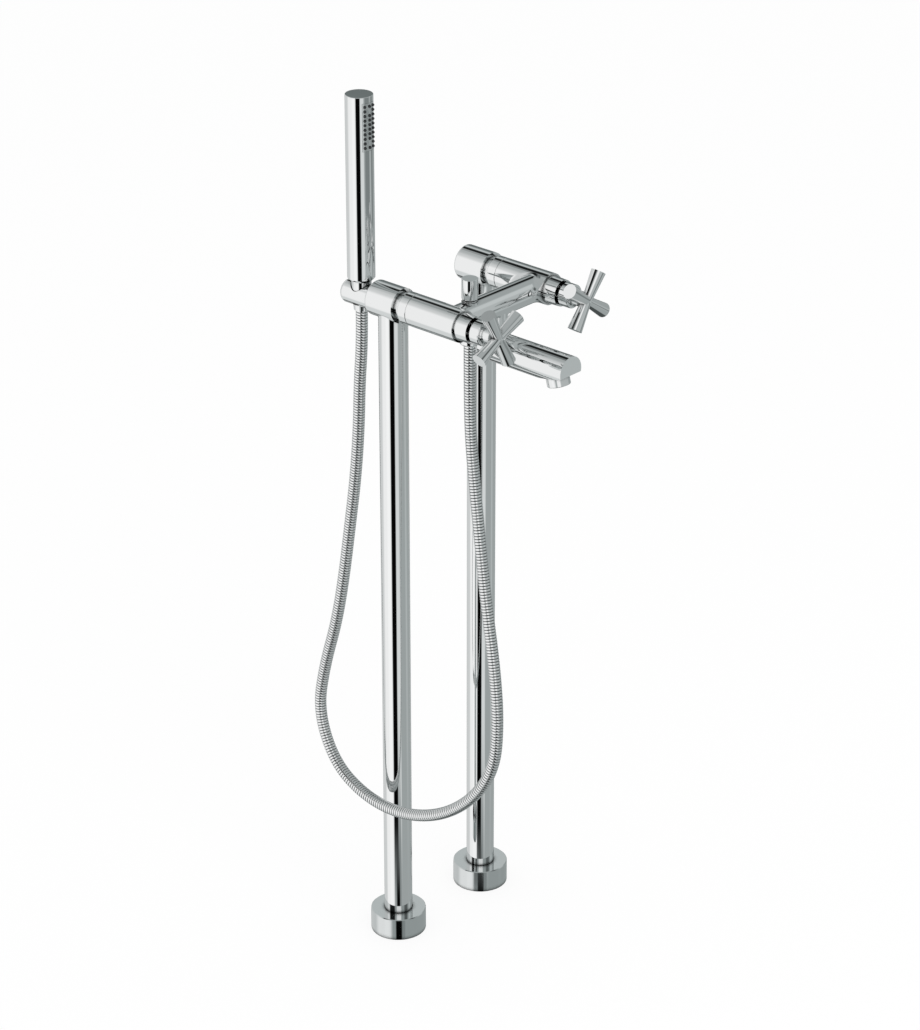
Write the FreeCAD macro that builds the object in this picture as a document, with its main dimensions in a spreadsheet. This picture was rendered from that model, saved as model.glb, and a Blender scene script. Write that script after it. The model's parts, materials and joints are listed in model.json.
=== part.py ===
"""Floor standing bath filler with crosshead valves, diverter and stick hand shower.

Millimetres, +Z up, +X to the right, and the bath side (the spout) towards -Y.
The origin lies on the floor, midway between the two standpipes.
"""
import FreeCAD, Part
import Sketcher
import math
import os

from FreeCAD import Placement, Rotation, Vector

# ---------------------------------------------------------------- driving sizes

SIZES = (
    # standpipes and floor bases
    ("leg_spacing", 150.0),
    ("axis_height", 825.0),
    ("leg_diameter", 34.0),
    ("leg_wall", 1.5),
    ("base_diameter", 60.0),
    ("base_thickness", 8.0),
    ("base_hub_height", 46.0),
    ("fixing_spacing", 44.0),
    ("fixing_hole", 6.0),
    ("inlet_bore", 18.6),
    ("inlet_depth", 14.0),
    ("riser_diameter", 18.0),
    ("riser_wall", 1.2),
    ("riser_socket_depth", 34.0),
    ("cover_gap", 2.0),
    ("cover_height", 28.0),
    ("cover_wall", 1.5),
    ("cover_rim", 3.0),
    # elbows and hand shower holder
    ("elbow_diameter", 41.0),
    ("elbow_back", 26.0),
    ("elbow_front", 15.5),
    ("elbow_round", 2.5),
    ("plug_length", 26.0),
    ("spigot_diameter", 32.0),
    ("spigot_length", 24.5),
    ("waterway", 16.0),
    ("holder_diameter", 28.0),
    ("holder_drop", 3.0),
    ("holder_reach", 72.0),
    ("holder_round", 5.0),
    ("handset_offset", 49.0),
    ("liner_top_diameter", 24.4),
    ("liner_bottom_diameter", 22.6),
    ("liner_wall", 1.2),
    ("liner_height", 17.0),
    # mixer body
    ("arm_diameter", 37.6),
    ("arm_back", 24.5),
    ("collar_length", 11.0),
    ("shoulder_gap", 2.0),
    ("barrel_length", 18.0),
    ("barrel_root_diameter", 32.4),
    ("barrel_tip_diameter", 31.4),
    ("bar_offset", 88.0),
    ("bar_diameter", 32.0),
    ("bar_blend", 14.0),
    ("neck_diameter", 28.0),
    ("neck_joint", 25.0),
    ("neck_blend", 4.0),
    ("mixing_bore", 9.6),
    ("chamber_diameter", 22.0),
    ("seat_web", 3.0),
    ("seat_hole", 13.0),
    # valve cartridges
    ("valve_reach", 29.0),
    ("valve_thread", 20.8),
    ("valve_hex", 22.0),
    ("disc_thickness", 3.5),
    ("disc_diameter", 15.0),
    ("spindle_diameter", 10.0),
    ("spline_diameter", 8.0),
    # crosshead handles
    ("handle_gap", 4.0),
    ("skirt_diameter", 28.0),
    ("skirt_length", 12.0),
    ("hub_diameter", 18.0),
    ("cross_stand", 30.5),
    ("cross_reach", 36.0),
    ("cross_root", 11.4),
    ("cross_tip", 17.2),
    ("hot_handle_turn", 28.0),
    ("cold_handle_turn", 56.0),
    # diverter
    ("diverter_side", 43.5),
    ("knob_diameter", 19.0),
    ("knob_height", 24.5),
    ("knob_lift", 19.0),
    ("stem_diameter", 6.0),
    ("diverter_travel", 8.0),
    ("diverter_bore", 16.0),
    ("outlet_thread", 20.8),
    ("outlet_drop", 22.0),
    # spout
    ("spout_drop", 51.5),
    ("spout_diameter", 36.0),
    ("spout_back", 72.0),
    ("spout_tip", 200.0),
    ("spout_wall", 3.0),
    ("spout_round", 4.0),
    ("tip_face", 22.5),
    ("underside_angle", 15.0),
    ("aerator_diameter", 27.0),
    ("aerator_height", 11.3),
    ("aerator_setback", 19.5),
    # hand shower
    ("handset_diameter", 32.0),
    ("handset_rise", 15.0),
    ("handset_length", 220.0),
    ("handset_wall", 2.0),
    ("handset_chamfer", 3.5),
    ("cap_thickness", 3.0),
    ("spray_width", 18.4),
    ("spray_height", 56.0),
    ("spray_top_gap", 7.0),
    ("nozzle_diameter", 2.4),
    ("nozzle_stand", 2.0),
    ("nozzle_pitch", 5.3),
    # shower hose
    ("hose_diameter", 14.0),
    ("hose_bore", 8.0),
    ("rib_depth", 0.7),
    # fits
    ("slip_gap", 0.1),
    ("shaft_gap", 0.05),
    ("free_gap", 0.3),
)

NOZZLE_ROWS = 10
NOZZLE_ANGLES = (-23, 0, 23)
RIB_COUNT = 180

doc = FreeCAD.newDocument("bath_filler")
sheet = doc.addObject("Spreadsheet::Sheet", "sizes")
for row, (alias, number) in enumerate(SIZES, start=1):
    sheet.set(f"A{row}", alias)
    sheet.set(f"B{row}", repr(number))
    sheet.setAlias(f"B{row}", alias)
doc.recompute()


class Size:
    """A length together with the sheet expression that it comes from."""

    def __init__(self, value, text):
        self.value = value
        self.text = text

    def _with(self, other, symbol, value):
        return Size(value, f"({self.text} {symbol} {as_size(other).text})")

    def __add__(self, other):
        return self._with(other, "+", self.value + as_size(other).value)

    def __sub__(self, other):
        return self._with(other, "-", self.value - as_size(other).value)

    def __mul__(self, other):
        return self._with(other, "*", self.value * as_size(other).value)

    def __truediv__(self, other):
        return self._with(other, "/", self.value / as_size(other).value)

    def __neg__(self):
        return as_size(0.0) - self

    def __radd__(self, other):
        return as_size(other) + self

    def __rsub__(self, other):
        return as_size(other) - self


def as_size(number):
    """Any plain number as a Size, and a Size as it is."""
    return number if isinstance(number, Size) else Size(float(number), repr(float(number)))


def size(alias):
    """The sheet's own size of that name."""
    return Size(getattr(sheet, alias), f"sizes.{alias}")


# ------------------------------------------------------------- shared positions

SLIP = size("slip_gap")
SHAFT = size("shaft_gap")
FREE = size("free_gap")
AXIS_Z = size("axis_height")
LEG_R = size("leg_diameter") / 2
ARM_R = size("arm_diameter") / 2
BAR_R = size("bar_diameter") / 2
SHOULDER = size("bar_offset") + BAR_R + size("shoulder_gap")
BARREL_FRONT = SHOULDER + size("barrel_length")
HANDLE_START = BARREL_FRONT + size("handle_gap")
CROSS_Y = HANDLE_START + size("cross_stand")
SIDES = {"hot": -1, "cold": 1}


def side_x(side):
    """X of one standpipe, arm and valve: hot is on the left, cold on the right."""
    return size("leg_spacing") / 2 * SIDES[side]


TURNS = {
    "up": Rotation(),
    "down": Rotation(Vector(1, 0, 0), 180),
    "front": Rotation(Vector(1, 0, 0), 90),
    "back": Rotation(Vector(1, 0, 0), -90),
    "right": Rotation(Vector(0, 1, 0), 90),
    "left": Rotation(Vector(0, 1, 0), -90),
}

# ------------------------------------------------------------ modelling helpers

nodes = []


def place(thing, x=0, y=0, z=0, turn="up"):
    """Put an object at (x, y, z), its own Z pointing the way that turn names."""
    rotation = TURNS[turn] if isinstance(turn, str) else turn
    spot = [as_size(coordinate) for coordinate in (x, y, z)]
    thing.Placement = Placement(Vector(*[c.value for c in spot]), rotation)
    for letter, coordinate in zip("xyz", spot):
        thing.setExpression(f".Placement.Base.{letter}", coordinate.text)
    return thing


def keep(thing, label):
    """Name a finished sub-part and remember it for export."""
    thing.Label = label
    nodes.append(thing)
    return thing


def origin_plane(body, role):
    """One of the body's own origin planes, found by its role."""
    return next(f for f in body.Origin.OriginFeatures if f.Role == role)


def closed_sketch(body, name, points, plane="XZ_Plane"):
    """A closed outline of straight sides whose corners are tied to the sheet."""
    sketch = body.newObject("Sketcher::SketchObject", name)
    sketch.AttachmentSupport = [(origin_plane(body, plane), "")]
    sketch.MapMode = "FlatFace"
    corners = [(as_size(a), as_size(b)) for a, b in points]
    vectors = [Vector(a.value, b.value, 0) for a, b in corners]
    for here, there in zip(vectors, vectors[1:] + vectors[:1]):
        sketch.addGeometry(Part.LineSegment(here, there), False)
    for index in range(len(corners)):
        sketch.addConstraint(sketcher_constraint("Coincident", index - 1, index, len(corners)))
    for index, corner in enumerate(corners):
        for kind, length in zip(("DistanceX", "DistanceY"), corner):
            pin_coordinate(sketch, kind, index, length)
    return sketch


def sketcher_constraint(kind, before, after, count):
    """The joint between the end of one side and the start of the next."""
    return Sketcher.Constraint(kind, before % count, 2, after, 1)


def pin_coordinate(sketch, kind, index, length):
    """Tie one coordinate of a side's first point to its size in the sheet."""
    if length.text == "0.0":
        axis = -2 if kind == "DistanceX" else -1
        sketch.addConstraint(Sketcher.Constraint("PointOnObject", index, 1, axis))
        return
    number = sketch.addConstraint(Sketcher.Constraint(kind, -1, 1, index, 1, length.value))
    sketch.setExpression(f"Constraints[{number}]", length.text)


def turned(name, profile, x=0, y=0, z=0, turn="up"):
    """A turned piece: an outline of (radius, height) corners spun about its own Z."""
    body = doc.addObject("PartDesign::Body", name)
    sketch = closed_sketch(body, name + "_outline", profile)
    spin = body.newObject("PartDesign::Revolution", name + "_turned")
    spin.Profile = sketch
    spin.ReferenceAxis = (sketch, ["V_Axis"])
    spin.Angle = 360
    return place(body, x, y, z, turn)


def ring_profile(inner, outer, low, high):
    """The outline of a plain ring."""
    return [(inner, low), (outer, low), (outer, high), (inner, high)]


def cylinder(name, radius, height, x=0, y=0, z=0, turn="up"):
    """A plain cylinder that grows from its placement along its own Z."""
    thing = doc.addObject("Part::Cylinder", name)
    thing.setExpression("Radius", as_size(radius).text)
    thing.setExpression("Height", as_size(height).text)
    return place(thing, x, y, z, turn)


def cone(name, start_radius, end_radius, height, x=0, y=0, z=0, turn="up"):
    """A cone or taper that grows from its placement along its own Z."""
    thing = doc.addObject("Part::Cone", name)
    thing.setExpression("Radius1", as_size(start_radius).text)
    thing.setExpression("Radius2", as_size(end_radius).text)
    thing.setExpression("Height", as_size(height).text)
    return place(thing, x, y, z, turn)


def box(name, length, width, height, x=0, y=0, z=0):
    """A box centred on (x, y) whose lowest face is at z."""
    thing = doc.addObject("Part::Box", name)
    for side, number in (("Length", length), ("Width", width), ("Height", height)):
        thing.setExpression(side, as_size(number).text)
    return place(thing, x - as_size(length) / 2, y - as_size(width) / 2, z)


def seal_ring(name, middle_radius, section_radius, x=0, y=0, z=0, turn="up"):
    """A rubber ring of round section."""
    thing = doc.addObject("Part::Torus", name)
    thing.setExpression("Radius1", as_size(middle_radius).text)
    thing.setExpression("Radius2", as_size(section_radius).text)
    return place(thing, x, y, z, turn)


def prism(name, across_flats, height, x=0, y=0, z=0, turn="up"):
    """A hexagonal bar of that width across its flats."""
    thing = doc.addObject("Part::Prism", name)
    thing.Polygon = 6
    circumradius = as_size(across_flats) / (2 * math.cos(math.pi / 6))
    thing.setExpression("Circumradius", circumradius.text)
    thing.setExpression("Height", as_size(height).text)
    return place(thing, x, y, z, turn)


def fused(name, pieces):
    """Several solids as one."""
    thing = doc.addObject("Part::MultiFuse", name)
    thing.Shapes = pieces
    thing.Refine = True
    return thing


def cut(name, base, tools):
    """One solid less the tools."""
    thing = doc.addObject("Part::Cut", name)
    thing.Base = base
    thing.Tool = tools[0] if len(tools) == 1 else fused(name + "_tools", tools)
    thing.Refine = True
    return thing


def group(name, pieces):
    """Separate like solids that share one node."""
    thing = doc.addObject("Part::Compound", name)
    thing.Links = pieces
    return thing


def flat_at_y(edge, y):
    """Whether an edge lies wholly in the upright plane at that y."""
    box_of_edge = edge.BoundBox
    return box_of_edge.YLength < 0.01 and abs(box_of_edge.Center.y - as_size(y).value) < 0.01


def rounded(name, base, radius, wanted):
    """Base with a fillet on each edge for which wanted(edge) is true."""
    doc.recompute()
    picked = [n for n, edge in enumerate(base.Shape.Edges, start=1) if wanted(edge)]
    thing = doc.addObject("Part::Fillet", name)
    thing.Base = base
    thing.Edges = [(n, radius.value, radius.value) for n in picked]
    return thing


# ------------------------------------------------------------------ standpipes

INLET_R = size("inlet_bore") / 2
RISER_R = size("riser_diameter") / 2
BASE_TOP = size("base_thickness")
HUB_TOP = BASE_TOP + size("base_hub_height")
HUB_R = LEG_R - size("leg_wall") - SLIP
RISER_FOOT = HUB_TOP - size("riser_socket_depth")
PLUG_FOOT = AXIS_Z - 9 - size("plug_length")
LEG_TOP = AXIS_Z - 9
RISER_HEAD = LEG_TOP - 6
GROOVE_HALF = 1.1
GROOVE_DEPTH = 1.8
SEAL_SECTION = 0.85
LOCK_HEIGHT = 17
LOCK_R = 2.5
LOCK_LENGTH = 6


def floor_base(side):
    """Turned brass foot with the supply thread below and the riser socket above."""
    x = side_x(side)
    groove = HUB_TOP - 9
    foot = turned(f"{side}_base_blank", [
        (INLET_R, 0), (size("base_diameter") / 2, 0), (size("base_diameter") / 2, BASE_TOP),
        (HUB_R, BASE_TOP), (HUB_R, HUB_TOP - 1), (HUB_R - 1, HUB_TOP),
        (RISER_R + SLIP, HUB_TOP),
        (RISER_R + SLIP, groove + GROOVE_HALF), (RISER_R + GROOVE_DEPTH, groove + GROOVE_HALF),
        (RISER_R + GROOVE_DEPTH, groove - GROOVE_HALF), (RISER_R + SLIP, groove - GROOVE_HALF),
        (RISER_R + SLIP, RISER_FOOT), (RISER_R - size("riser_wall"), RISER_FOOT),
        (RISER_R - size("riser_wall"), size("inlet_depth")), (INLET_R, size("inlet_depth")),
    ], x)
    reach = size("fixing_spacing") / 2
    holes = [
        cylinder(f"{side}_fixing_{n}", size("fixing_hole") / 2, BASE_TOP * 3, x, reach * n, -BASE_TOP)
        for n in (-1, 1)
    ]
    holes += [
        cylinder(f"{side}_lock_hole_{turn}", LOCK_R + SHAFT, LOCK_LENGTH + 1,
                 x + (LEG_R - LOCK_LENGTH - SLIP) * n, 0, LOCK_HEIGHT, turn)
        for n, turn in ((-1, "left"), (1, "right"))
    ]
    return keep(cut(f"{side}_base_cut", foot, holes), f"{side}_floor_base")


def leg_tube(side):
    """Chromed tube from the foot to the elbow, with two holes for its grub screws."""
    x = side_x(side)
    tube = turned(f"{side}_tube", ring_profile(LEG_R - size("leg_wall"), LEG_R, BASE_TOP, LEG_TOP), x)
    hole = cylinder(f"{side}_tube_holes", LOCK_R + SHAFT, LEG_R * 4, x - LEG_R * 2, 0, LOCK_HEIGHT, "right")
    return keep(cut(f"{side}_tube_cut", tube, [hole]), f"{side}_leg_tube")


def grub_screw(name, radius, length, x, y, z, turn):
    """Headless screw with a hexagon socket in its outer end and a pointed inner end."""
    blank = turned(name + "_blank", [
        (0, 0), (radius * 0.4, 0), (radius, radius * 0.5), (radius, length), (0, length),
    ], x, y, z, turn)
    socket = prism(name + "_socket", as_size(radius), as_size(length) / 2 + 1, x, y, z, turn)
    shift = TURNS[turn].multVec(Vector(0, 0, as_size(length).value / 2))
    place(socket, as_size(x) + shift.x, as_size(y) + shift.y, as_size(z) + shift.z, turn)
    return cut(name, blank, [socket])


def leg_screws():
    """Two grub screws in each foot, hidden under the cover."""
    screws = [
        grub_screw(f"{side}_screw_{turn}", LOCK_R, LOCK_LENGTH - SLIP,
                   side_x(side) + (LEG_R - LOCK_LENGTH) * n, 0, LOCK_HEIGHT, turn)
        for side in SIDES for n, turn in ((-1, "left"), (1, "right"))
    ]
    return keep(group("leg_screw_set", screws), "leg_grub_screws")


def riser_pipe(side):
    """Copper water pipe that runs inside the standpipe."""
    profile = ring_profile(RISER_R - size("riser_wall"), RISER_R, RISER_FOOT + SLIP, RISER_HEAD - SLIP)
    return keep(turned(f"{side}_riser", profile, side_x(side)), f"{side}_riser_pipe")


def riser_rings():
    """One seal ring at each end of each riser pipe."""
    middle = RISER_R + GROOVE_DEPTH / 2
    rings = [
        seal_ring(f"{side}_riser_ring_{n}", middle, SEAL_SECTION, side_x(side), 0, height)
        for side in SIDES for n, height in enumerate((HUB_TOP - 9, PLUG_FOOT + 7))
    ]
    return keep(group("riser_ring_set", rings), "riser_o_rings")


COVER_SEAL_R = 1.0


def floor_cover(side):
    """Polished cover that hides the foot; its inner rim holds the seal round the tube."""
    inner = size("base_diameter") / 2 + size("cover_gap")
    outer = inner + size("cover_wall")
    top = size("cover_height")
    hole = LEG_R + FREE
    rim = LEG_R + 5
    seat = LEG_R + COVER_SEAL_R * 2 + SLIP * 2
    groove_low = top - size("cover_rim") / 2 - COVER_SEAL_R * 2 - SLIP * 2
    groove_high = top - size("cover_rim") / 2
    return keep(turned(f"{side}_cover", [
        (inner, 0), (outer, 0), (outer, top - 0.8), (outer - 0.8, top), (hole, top),
        (hole, groove_high), (seat, groove_high), (seat, groove_low), (hole, groove_low),
        (hole, top - size("cover_rim") * 2), (rim, top - size("cover_rim") * 2),
        (rim, top - size("cover_wall")), (inner, top - size("cover_wall")),
    ], side_x(side)), f"{side}_floor_cover")


def cover_rings():
    """The seal ring in each floor cover."""
    height = size("cover_height") - size("cover_rim") / 2 - COVER_SEAL_R - SLIP
    rings = [
        seal_ring(f"{side}_cover_ring", LEG_R + COVER_SEAL_R + SLIP, COVER_SEAL_R, side_x(side), 0, height)
        for side in SIDES
    ]
    return keep(group("cover_ring_set", rings), "cover_seal_rings")


for side in SIDES:
    floor_base(side)
    leg_tube(side)
    riser_pipe(side)
    floor_cover(side)
leg_screws()
riser_rings()
cover_rings()

# ---------------------------------------------------- elbows, holder and unions

ELBOW_R = size("elbow_diameter") / 2
SPIGOT_R = size("spigot_diameter") / 2
WATER_R = size("waterway") / 2
SPIGOT_END = size("elbow_front") + size("spigot_length")
CHECK_R = SPIGOT_R - 5
CHECK_START = SPIGOT_END - 16
SPIGOT_GROOVES = (SPIGOT_END - 3, SPIGOT_END - 9.5)
FILTER_THICKNESS = 2.0
BODY_SHOULDER = SPIGOT_END + FILTER_THICKNESS
HOLDER_R = size("holder_diameter") / 2
HOLDER_Z = AXIS_Z - size("holder_drop")
HANDSET_Y = size("handset_offset")
LINER_TOP = HOLDER_Z + 7
LINER_FOOT = LINER_TOP - size("liner_height")
LINER_TOP_R = size("liner_top_diameter") / 2
LINER_FOOT_R = size("liner_bottom_diameter") / 2


def elbow(side):
    """Hollow elbow: plug into the standpipe below, grooved spigot to the body in front."""
    x = side_x(side)
    length = size("elbow_back") + size("elbow_front")
    barrel = cylinder(f"{side}_elbow_barrel", ELBOW_R, length, x, size("elbow_back"), AXIS_Z, "front")
    back_rounded = rounded(f"{side}_elbow_rounded", barrel, size("elbow_round"),
                           lambda edge: flat_at_y(edge, size("elbow_back")))
    spigot = cylinder(f"{side}_spigot", SPIGOT_R, SPIGOT_END, x, 0, AXIS_Z, "front")
    plug = cylinder(f"{side}_elbow_plug", HUB_R, size("plug_length") + 5, x, 0, PLUG_FOOT)
    solids = [back_rounded, spigot, plug]
    if side == "hot":
        arm = cylinder("holder_arm", HOLDER_R, size("holder_reach"), x, 0, HOLDER_Z, "back")
        solids.append(rounded("holder_rounded", arm, size("holder_round"),
                              lambda edge: flat_at_y(edge, size("holder_reach"))))
    socket = turned(f"{side}_elbow_socket", ring_profile(HUB_R, LEG_R + SLIP, PLUG_FOOT - 1, LEG_TOP + SLIP), x)
    groove = PLUG_FOOT + 7
    drop = turned(f"{side}_elbow_drop", [
        (0, PLUG_FOOT - 1), (RISER_R + SLIP, PLUG_FOOT - 1), (RISER_R + SLIP, groove - GROOVE_HALF),
        (RISER_R + GROOVE_DEPTH, groove - GROOVE_HALF), (RISER_R + GROOVE_DEPTH, groove + GROOVE_HALF),
        (RISER_R + SLIP, groove + GROOVE_HALF), (RISER_R + SLIP, RISER_HEAD),
        (WATER_R - 0.7, RISER_HEAD), (WATER_R - 0.7, AXIS_Z), (0, AXIS_Z),
    ], x)
    grooves = [
        turned(f"{side}_spigot_groove_{n}",
               ring_profile(SPIGOT_R - GROOVE_DEPTH, SPIGOT_R + 1, place_y - GROOVE_HALF, place_y + GROOVE_HALF),
               x, 0, AXIS_Z, "front")
        for n, place_y in enumerate(SPIGOT_GROOVES)
    ]
    locking = turned(f"{side}_spigot_lock",
                     ring_profile(SPIGOT_R - 1.2, SPIGOT_R + 1, LOCK_Y - LOCK_R, LOCK_Y + LOCK_R),
                     x, 0, AXIS_Z, "front")
    tools = [
        socket, drop, *grooves, locking,
        cylinder(f"{side}_elbow_run", WATER_R, SPIGOT_END + WATER_R, x, WATER_R, AXIS_Z, "front"),
        cylinder(f"{side}_check_seat", CHECK_R + SLIP, size("spigot_length"), x, -CHECK_START, AXIS_Z, "front"),
    ]
    if side == "hot":
        flare = (LINER_TOP_R - LINER_FOOT_R) / 2
        tools.append(cone("holder_bore", LINER_FOOT_R + SLIP - flare, LINER_TOP_R + SLIP + flare,
                          size("liner_height") * 2, x, HANDSET_Y, LINER_FOOT - size("liner_height") / 2))
    hollow = cut(f"{side}_elbow_cut", fused(f"{side}_elbow_solid", solids), tools)
    return keep(hollow, f"{side}_elbow")


LOCK_Y = SPIGOT_END - 6.2


def spigot_rings():
    """Two seal rings on each spigot."""
    middle = SPIGOT_R - GROOVE_DEPTH / 2 + SLIP / 2
    rings = [
        seal_ring(f"{side}_spigot_ring_{n}", middle, SEAL_SECTION, side_x(side), -place_y, AXIS_Z, "front")
        for side in SIDES for n, place_y in enumerate(SPIGOT_GROOVES)
    ]
    return keep(group("spigot_ring_set", rings), "spigot_o_rings")


def arm_lock_screws():
    """The grub screw under each arm that holds the body on its spigot."""
    length = ARM_R - SPIGOT_R + 0.9
    screws = [
        grub_screw(f"{side}_arm_screw", LOCK_R - 0.5, length, side_x(side), -LOCK_Y,
                   AXIS_Z - SPIGOT_R + 0.9, "down")
        for side in SIDES
    ]
    return keep(group("arm_screw_set", screws), "arm_lock_screws")


def check_valves():
    """The non-return cartridge in each spigot."""
    keep(group("check_valve_set", [check_valve(side) for side in SIDES]), "check_valves")


def check_valve(side):
    """Non-return cartridge: a cage, a bridge and a poppet on its stem."""
    length = SPIGOT_END - CHECK_START
    cage = turned(f"{side}_check_cage", [
        (CHECK_R - 3, SLIP), (CHECK_R, SLIP), (CHECK_R, length), (CHECK_R - 1.6, length),
        (CHECK_R - 1.6, 3), (CHECK_R - 3, 3),
    ], side_x(side), -CHECK_START, AXIS_Z, "front")
    poppet = turned(f"{side}_check_poppet", [
        (0, 3.0), (CHECK_R - 2.2, 3.0), (CHECK_R - 2.2, 5.0), (2.0, 8.0), (2.0, length - 1), (0, length - 1),
    ], side_x(side), -CHECK_START, AXIS_Z, "front")
    bridge = box(f"{side}_check_bridge", CHECK_R * 2 - 1, 3.0, 2.4, side_x(side),
                 -(CHECK_START + length - 2.5), AXIS_Z - 1.2)
    return fused(f"{side}_check_fused", [cage, poppet, bridge])


def inlet_filters():
    """A strainer washer with slots between each spigot and the body."""
    discs = []
    for side in SIDES:
        blank = turned(f"{side}_filter_blank", ring_profile(0, SPIGOT_R - 0.5, 0.1, FILTER_THICKNESS - 0.1),
                       side_x(side), -SPIGOT_END, AXIS_Z, "front")
        slots = [
            box(f"{side}_filter_slot_{n}", 14, FILTER_THICKNESS * 3, 1.6, side_x(side), -SPIGOT_END - 1,
                AXIS_Z + 3.2 * n - 0.8)
            for n in (-2, -1, 0, 1, 2)
        ]
        discs.append(cut(f"{side}_filter", blank, slots))
    return keep(group("filter_set", discs), "inlet_filters")


def holder_liner():
    """Tapered plastic sleeve that the hand shower's cone sits in."""
    wall = size("liner_wall")
    height = size("liner_height")
    return keep(turned("liner", [
        (LINER_FOOT_R - wall, 0), (LINER_FOOT_R, 0), (LINER_TOP_R, height), (LINER_TOP_R - wall, height),
    ], side_x("hot"), HANDSET_Y, LINER_FOOT), "holder_liner")


for side in SIDES:
    elbow(side)
check_valves()
spigot_rings()
arm_lock_screws()
inlet_filters()
holder_liner()

# ------------------------------------------------------------------ mixer body

BAR_Y = -size("bar_offset")
NECK_R = size("neck_diameter") / 2
NECK_FOOT = AXIS_Z - size("neck_joint")
CHAMBER_R = size("chamber_diameter") / 2
MIX_R = size("mixing_bore") / 2
MIX_Y = BAR_Y - 7.5
MIX_Z = AXIS_Z - 5
PORT_Y = BAR_Y + 4
CHANNEL_FOOT = AXIS_Z + 5.5
CHANNEL_TOP = AXIS_Z + 11
DIVERTER_X = -size("diverter_side")
DIVERTER_R = size("diverter_bore") / 2
UPPER_SEAT = AXIS_Z + 3.5
LOWER_SEAT = AXIS_Z - 10
OUTLET_FOOT = AXIS_Z - size("outlet_drop")
OUTLET_R = size("outlet_thread") / 2
OUTLET_BOSS_R = OUTLET_R + 2.2
NIPPLE_R = size("spout_diameter") / 2 - 8.5
GLAND_R = DIVERTER_R + 1
SEAT_FRONT = SHOULDER - size("valve_reach")
THREAD_R = size("valve_thread") / 2
HEX_R = size("valve_hex") / 2 / math.cos(math.pi / 6)
RECESS_DEPTH = 6.0


def body_blank():
    """Arms, crossbar, spout neck and shower boss, blended where the crossbar meets the arms."""
    arms = [
        cylinder(f"{side}_arm", ARM_R, BARREL_FRONT - size("arm_back"), side_x(side),
                 -size("arm_back"), AXIS_Z, "front")
        for side in SIDES
    ]
    bar = cylinder("crossbar", BAR_R, size("leg_spacing"), -size("leg_spacing") / 2, BAR_Y, AXIS_Z, "right")
    frame = fused("body_frame", [*arms, bar])

    def at_arm(edge):
        middle = edge.CenterOfMass
        beside = 0.5 < side_x("cold").value - abs(middle.x) < ARM_R.value
        curved = edge.BoundBox.ZLength > BAR_R.value and edge.BoundBox.XLength > 0.5
        return beside and curved and abs(middle.y - BAR_Y.value) < BAR_R.value

    blended = rounded("body_blended", frame, size("bar_blend"), at_arm)
    neck = cylinder("neck", NECK_R, AXIS_Z - NECK_FOOT, 0, BAR_Y, NECK_FOOT)
    boss = cylinder("shower_boss", OUTLET_BOSS_R, AXIS_Z - OUTLET_FOOT, DIVERTER_X, BAR_Y, OUTLET_FOOT)
    gland_boss = cylinder("gland_boss", GLAND_R + 0.5, BAR_R, DIVERTER_X, BAR_Y, AXIS_Z)
    joined = fused("body_joined", [blended, neck, boss, gland_boss])

    def under_bar(edge):
        middle = edge.CenterOfMass
        return abs(middle.x) < NECK_R.value and NECK_FOOT.value + 1 < middle.z < AXIS_Z.value \
            and edge.BoundBox.XLength > NECK_R.value

    return rounded("body_necked", joined, size("neck_blend"), under_bar)


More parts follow.
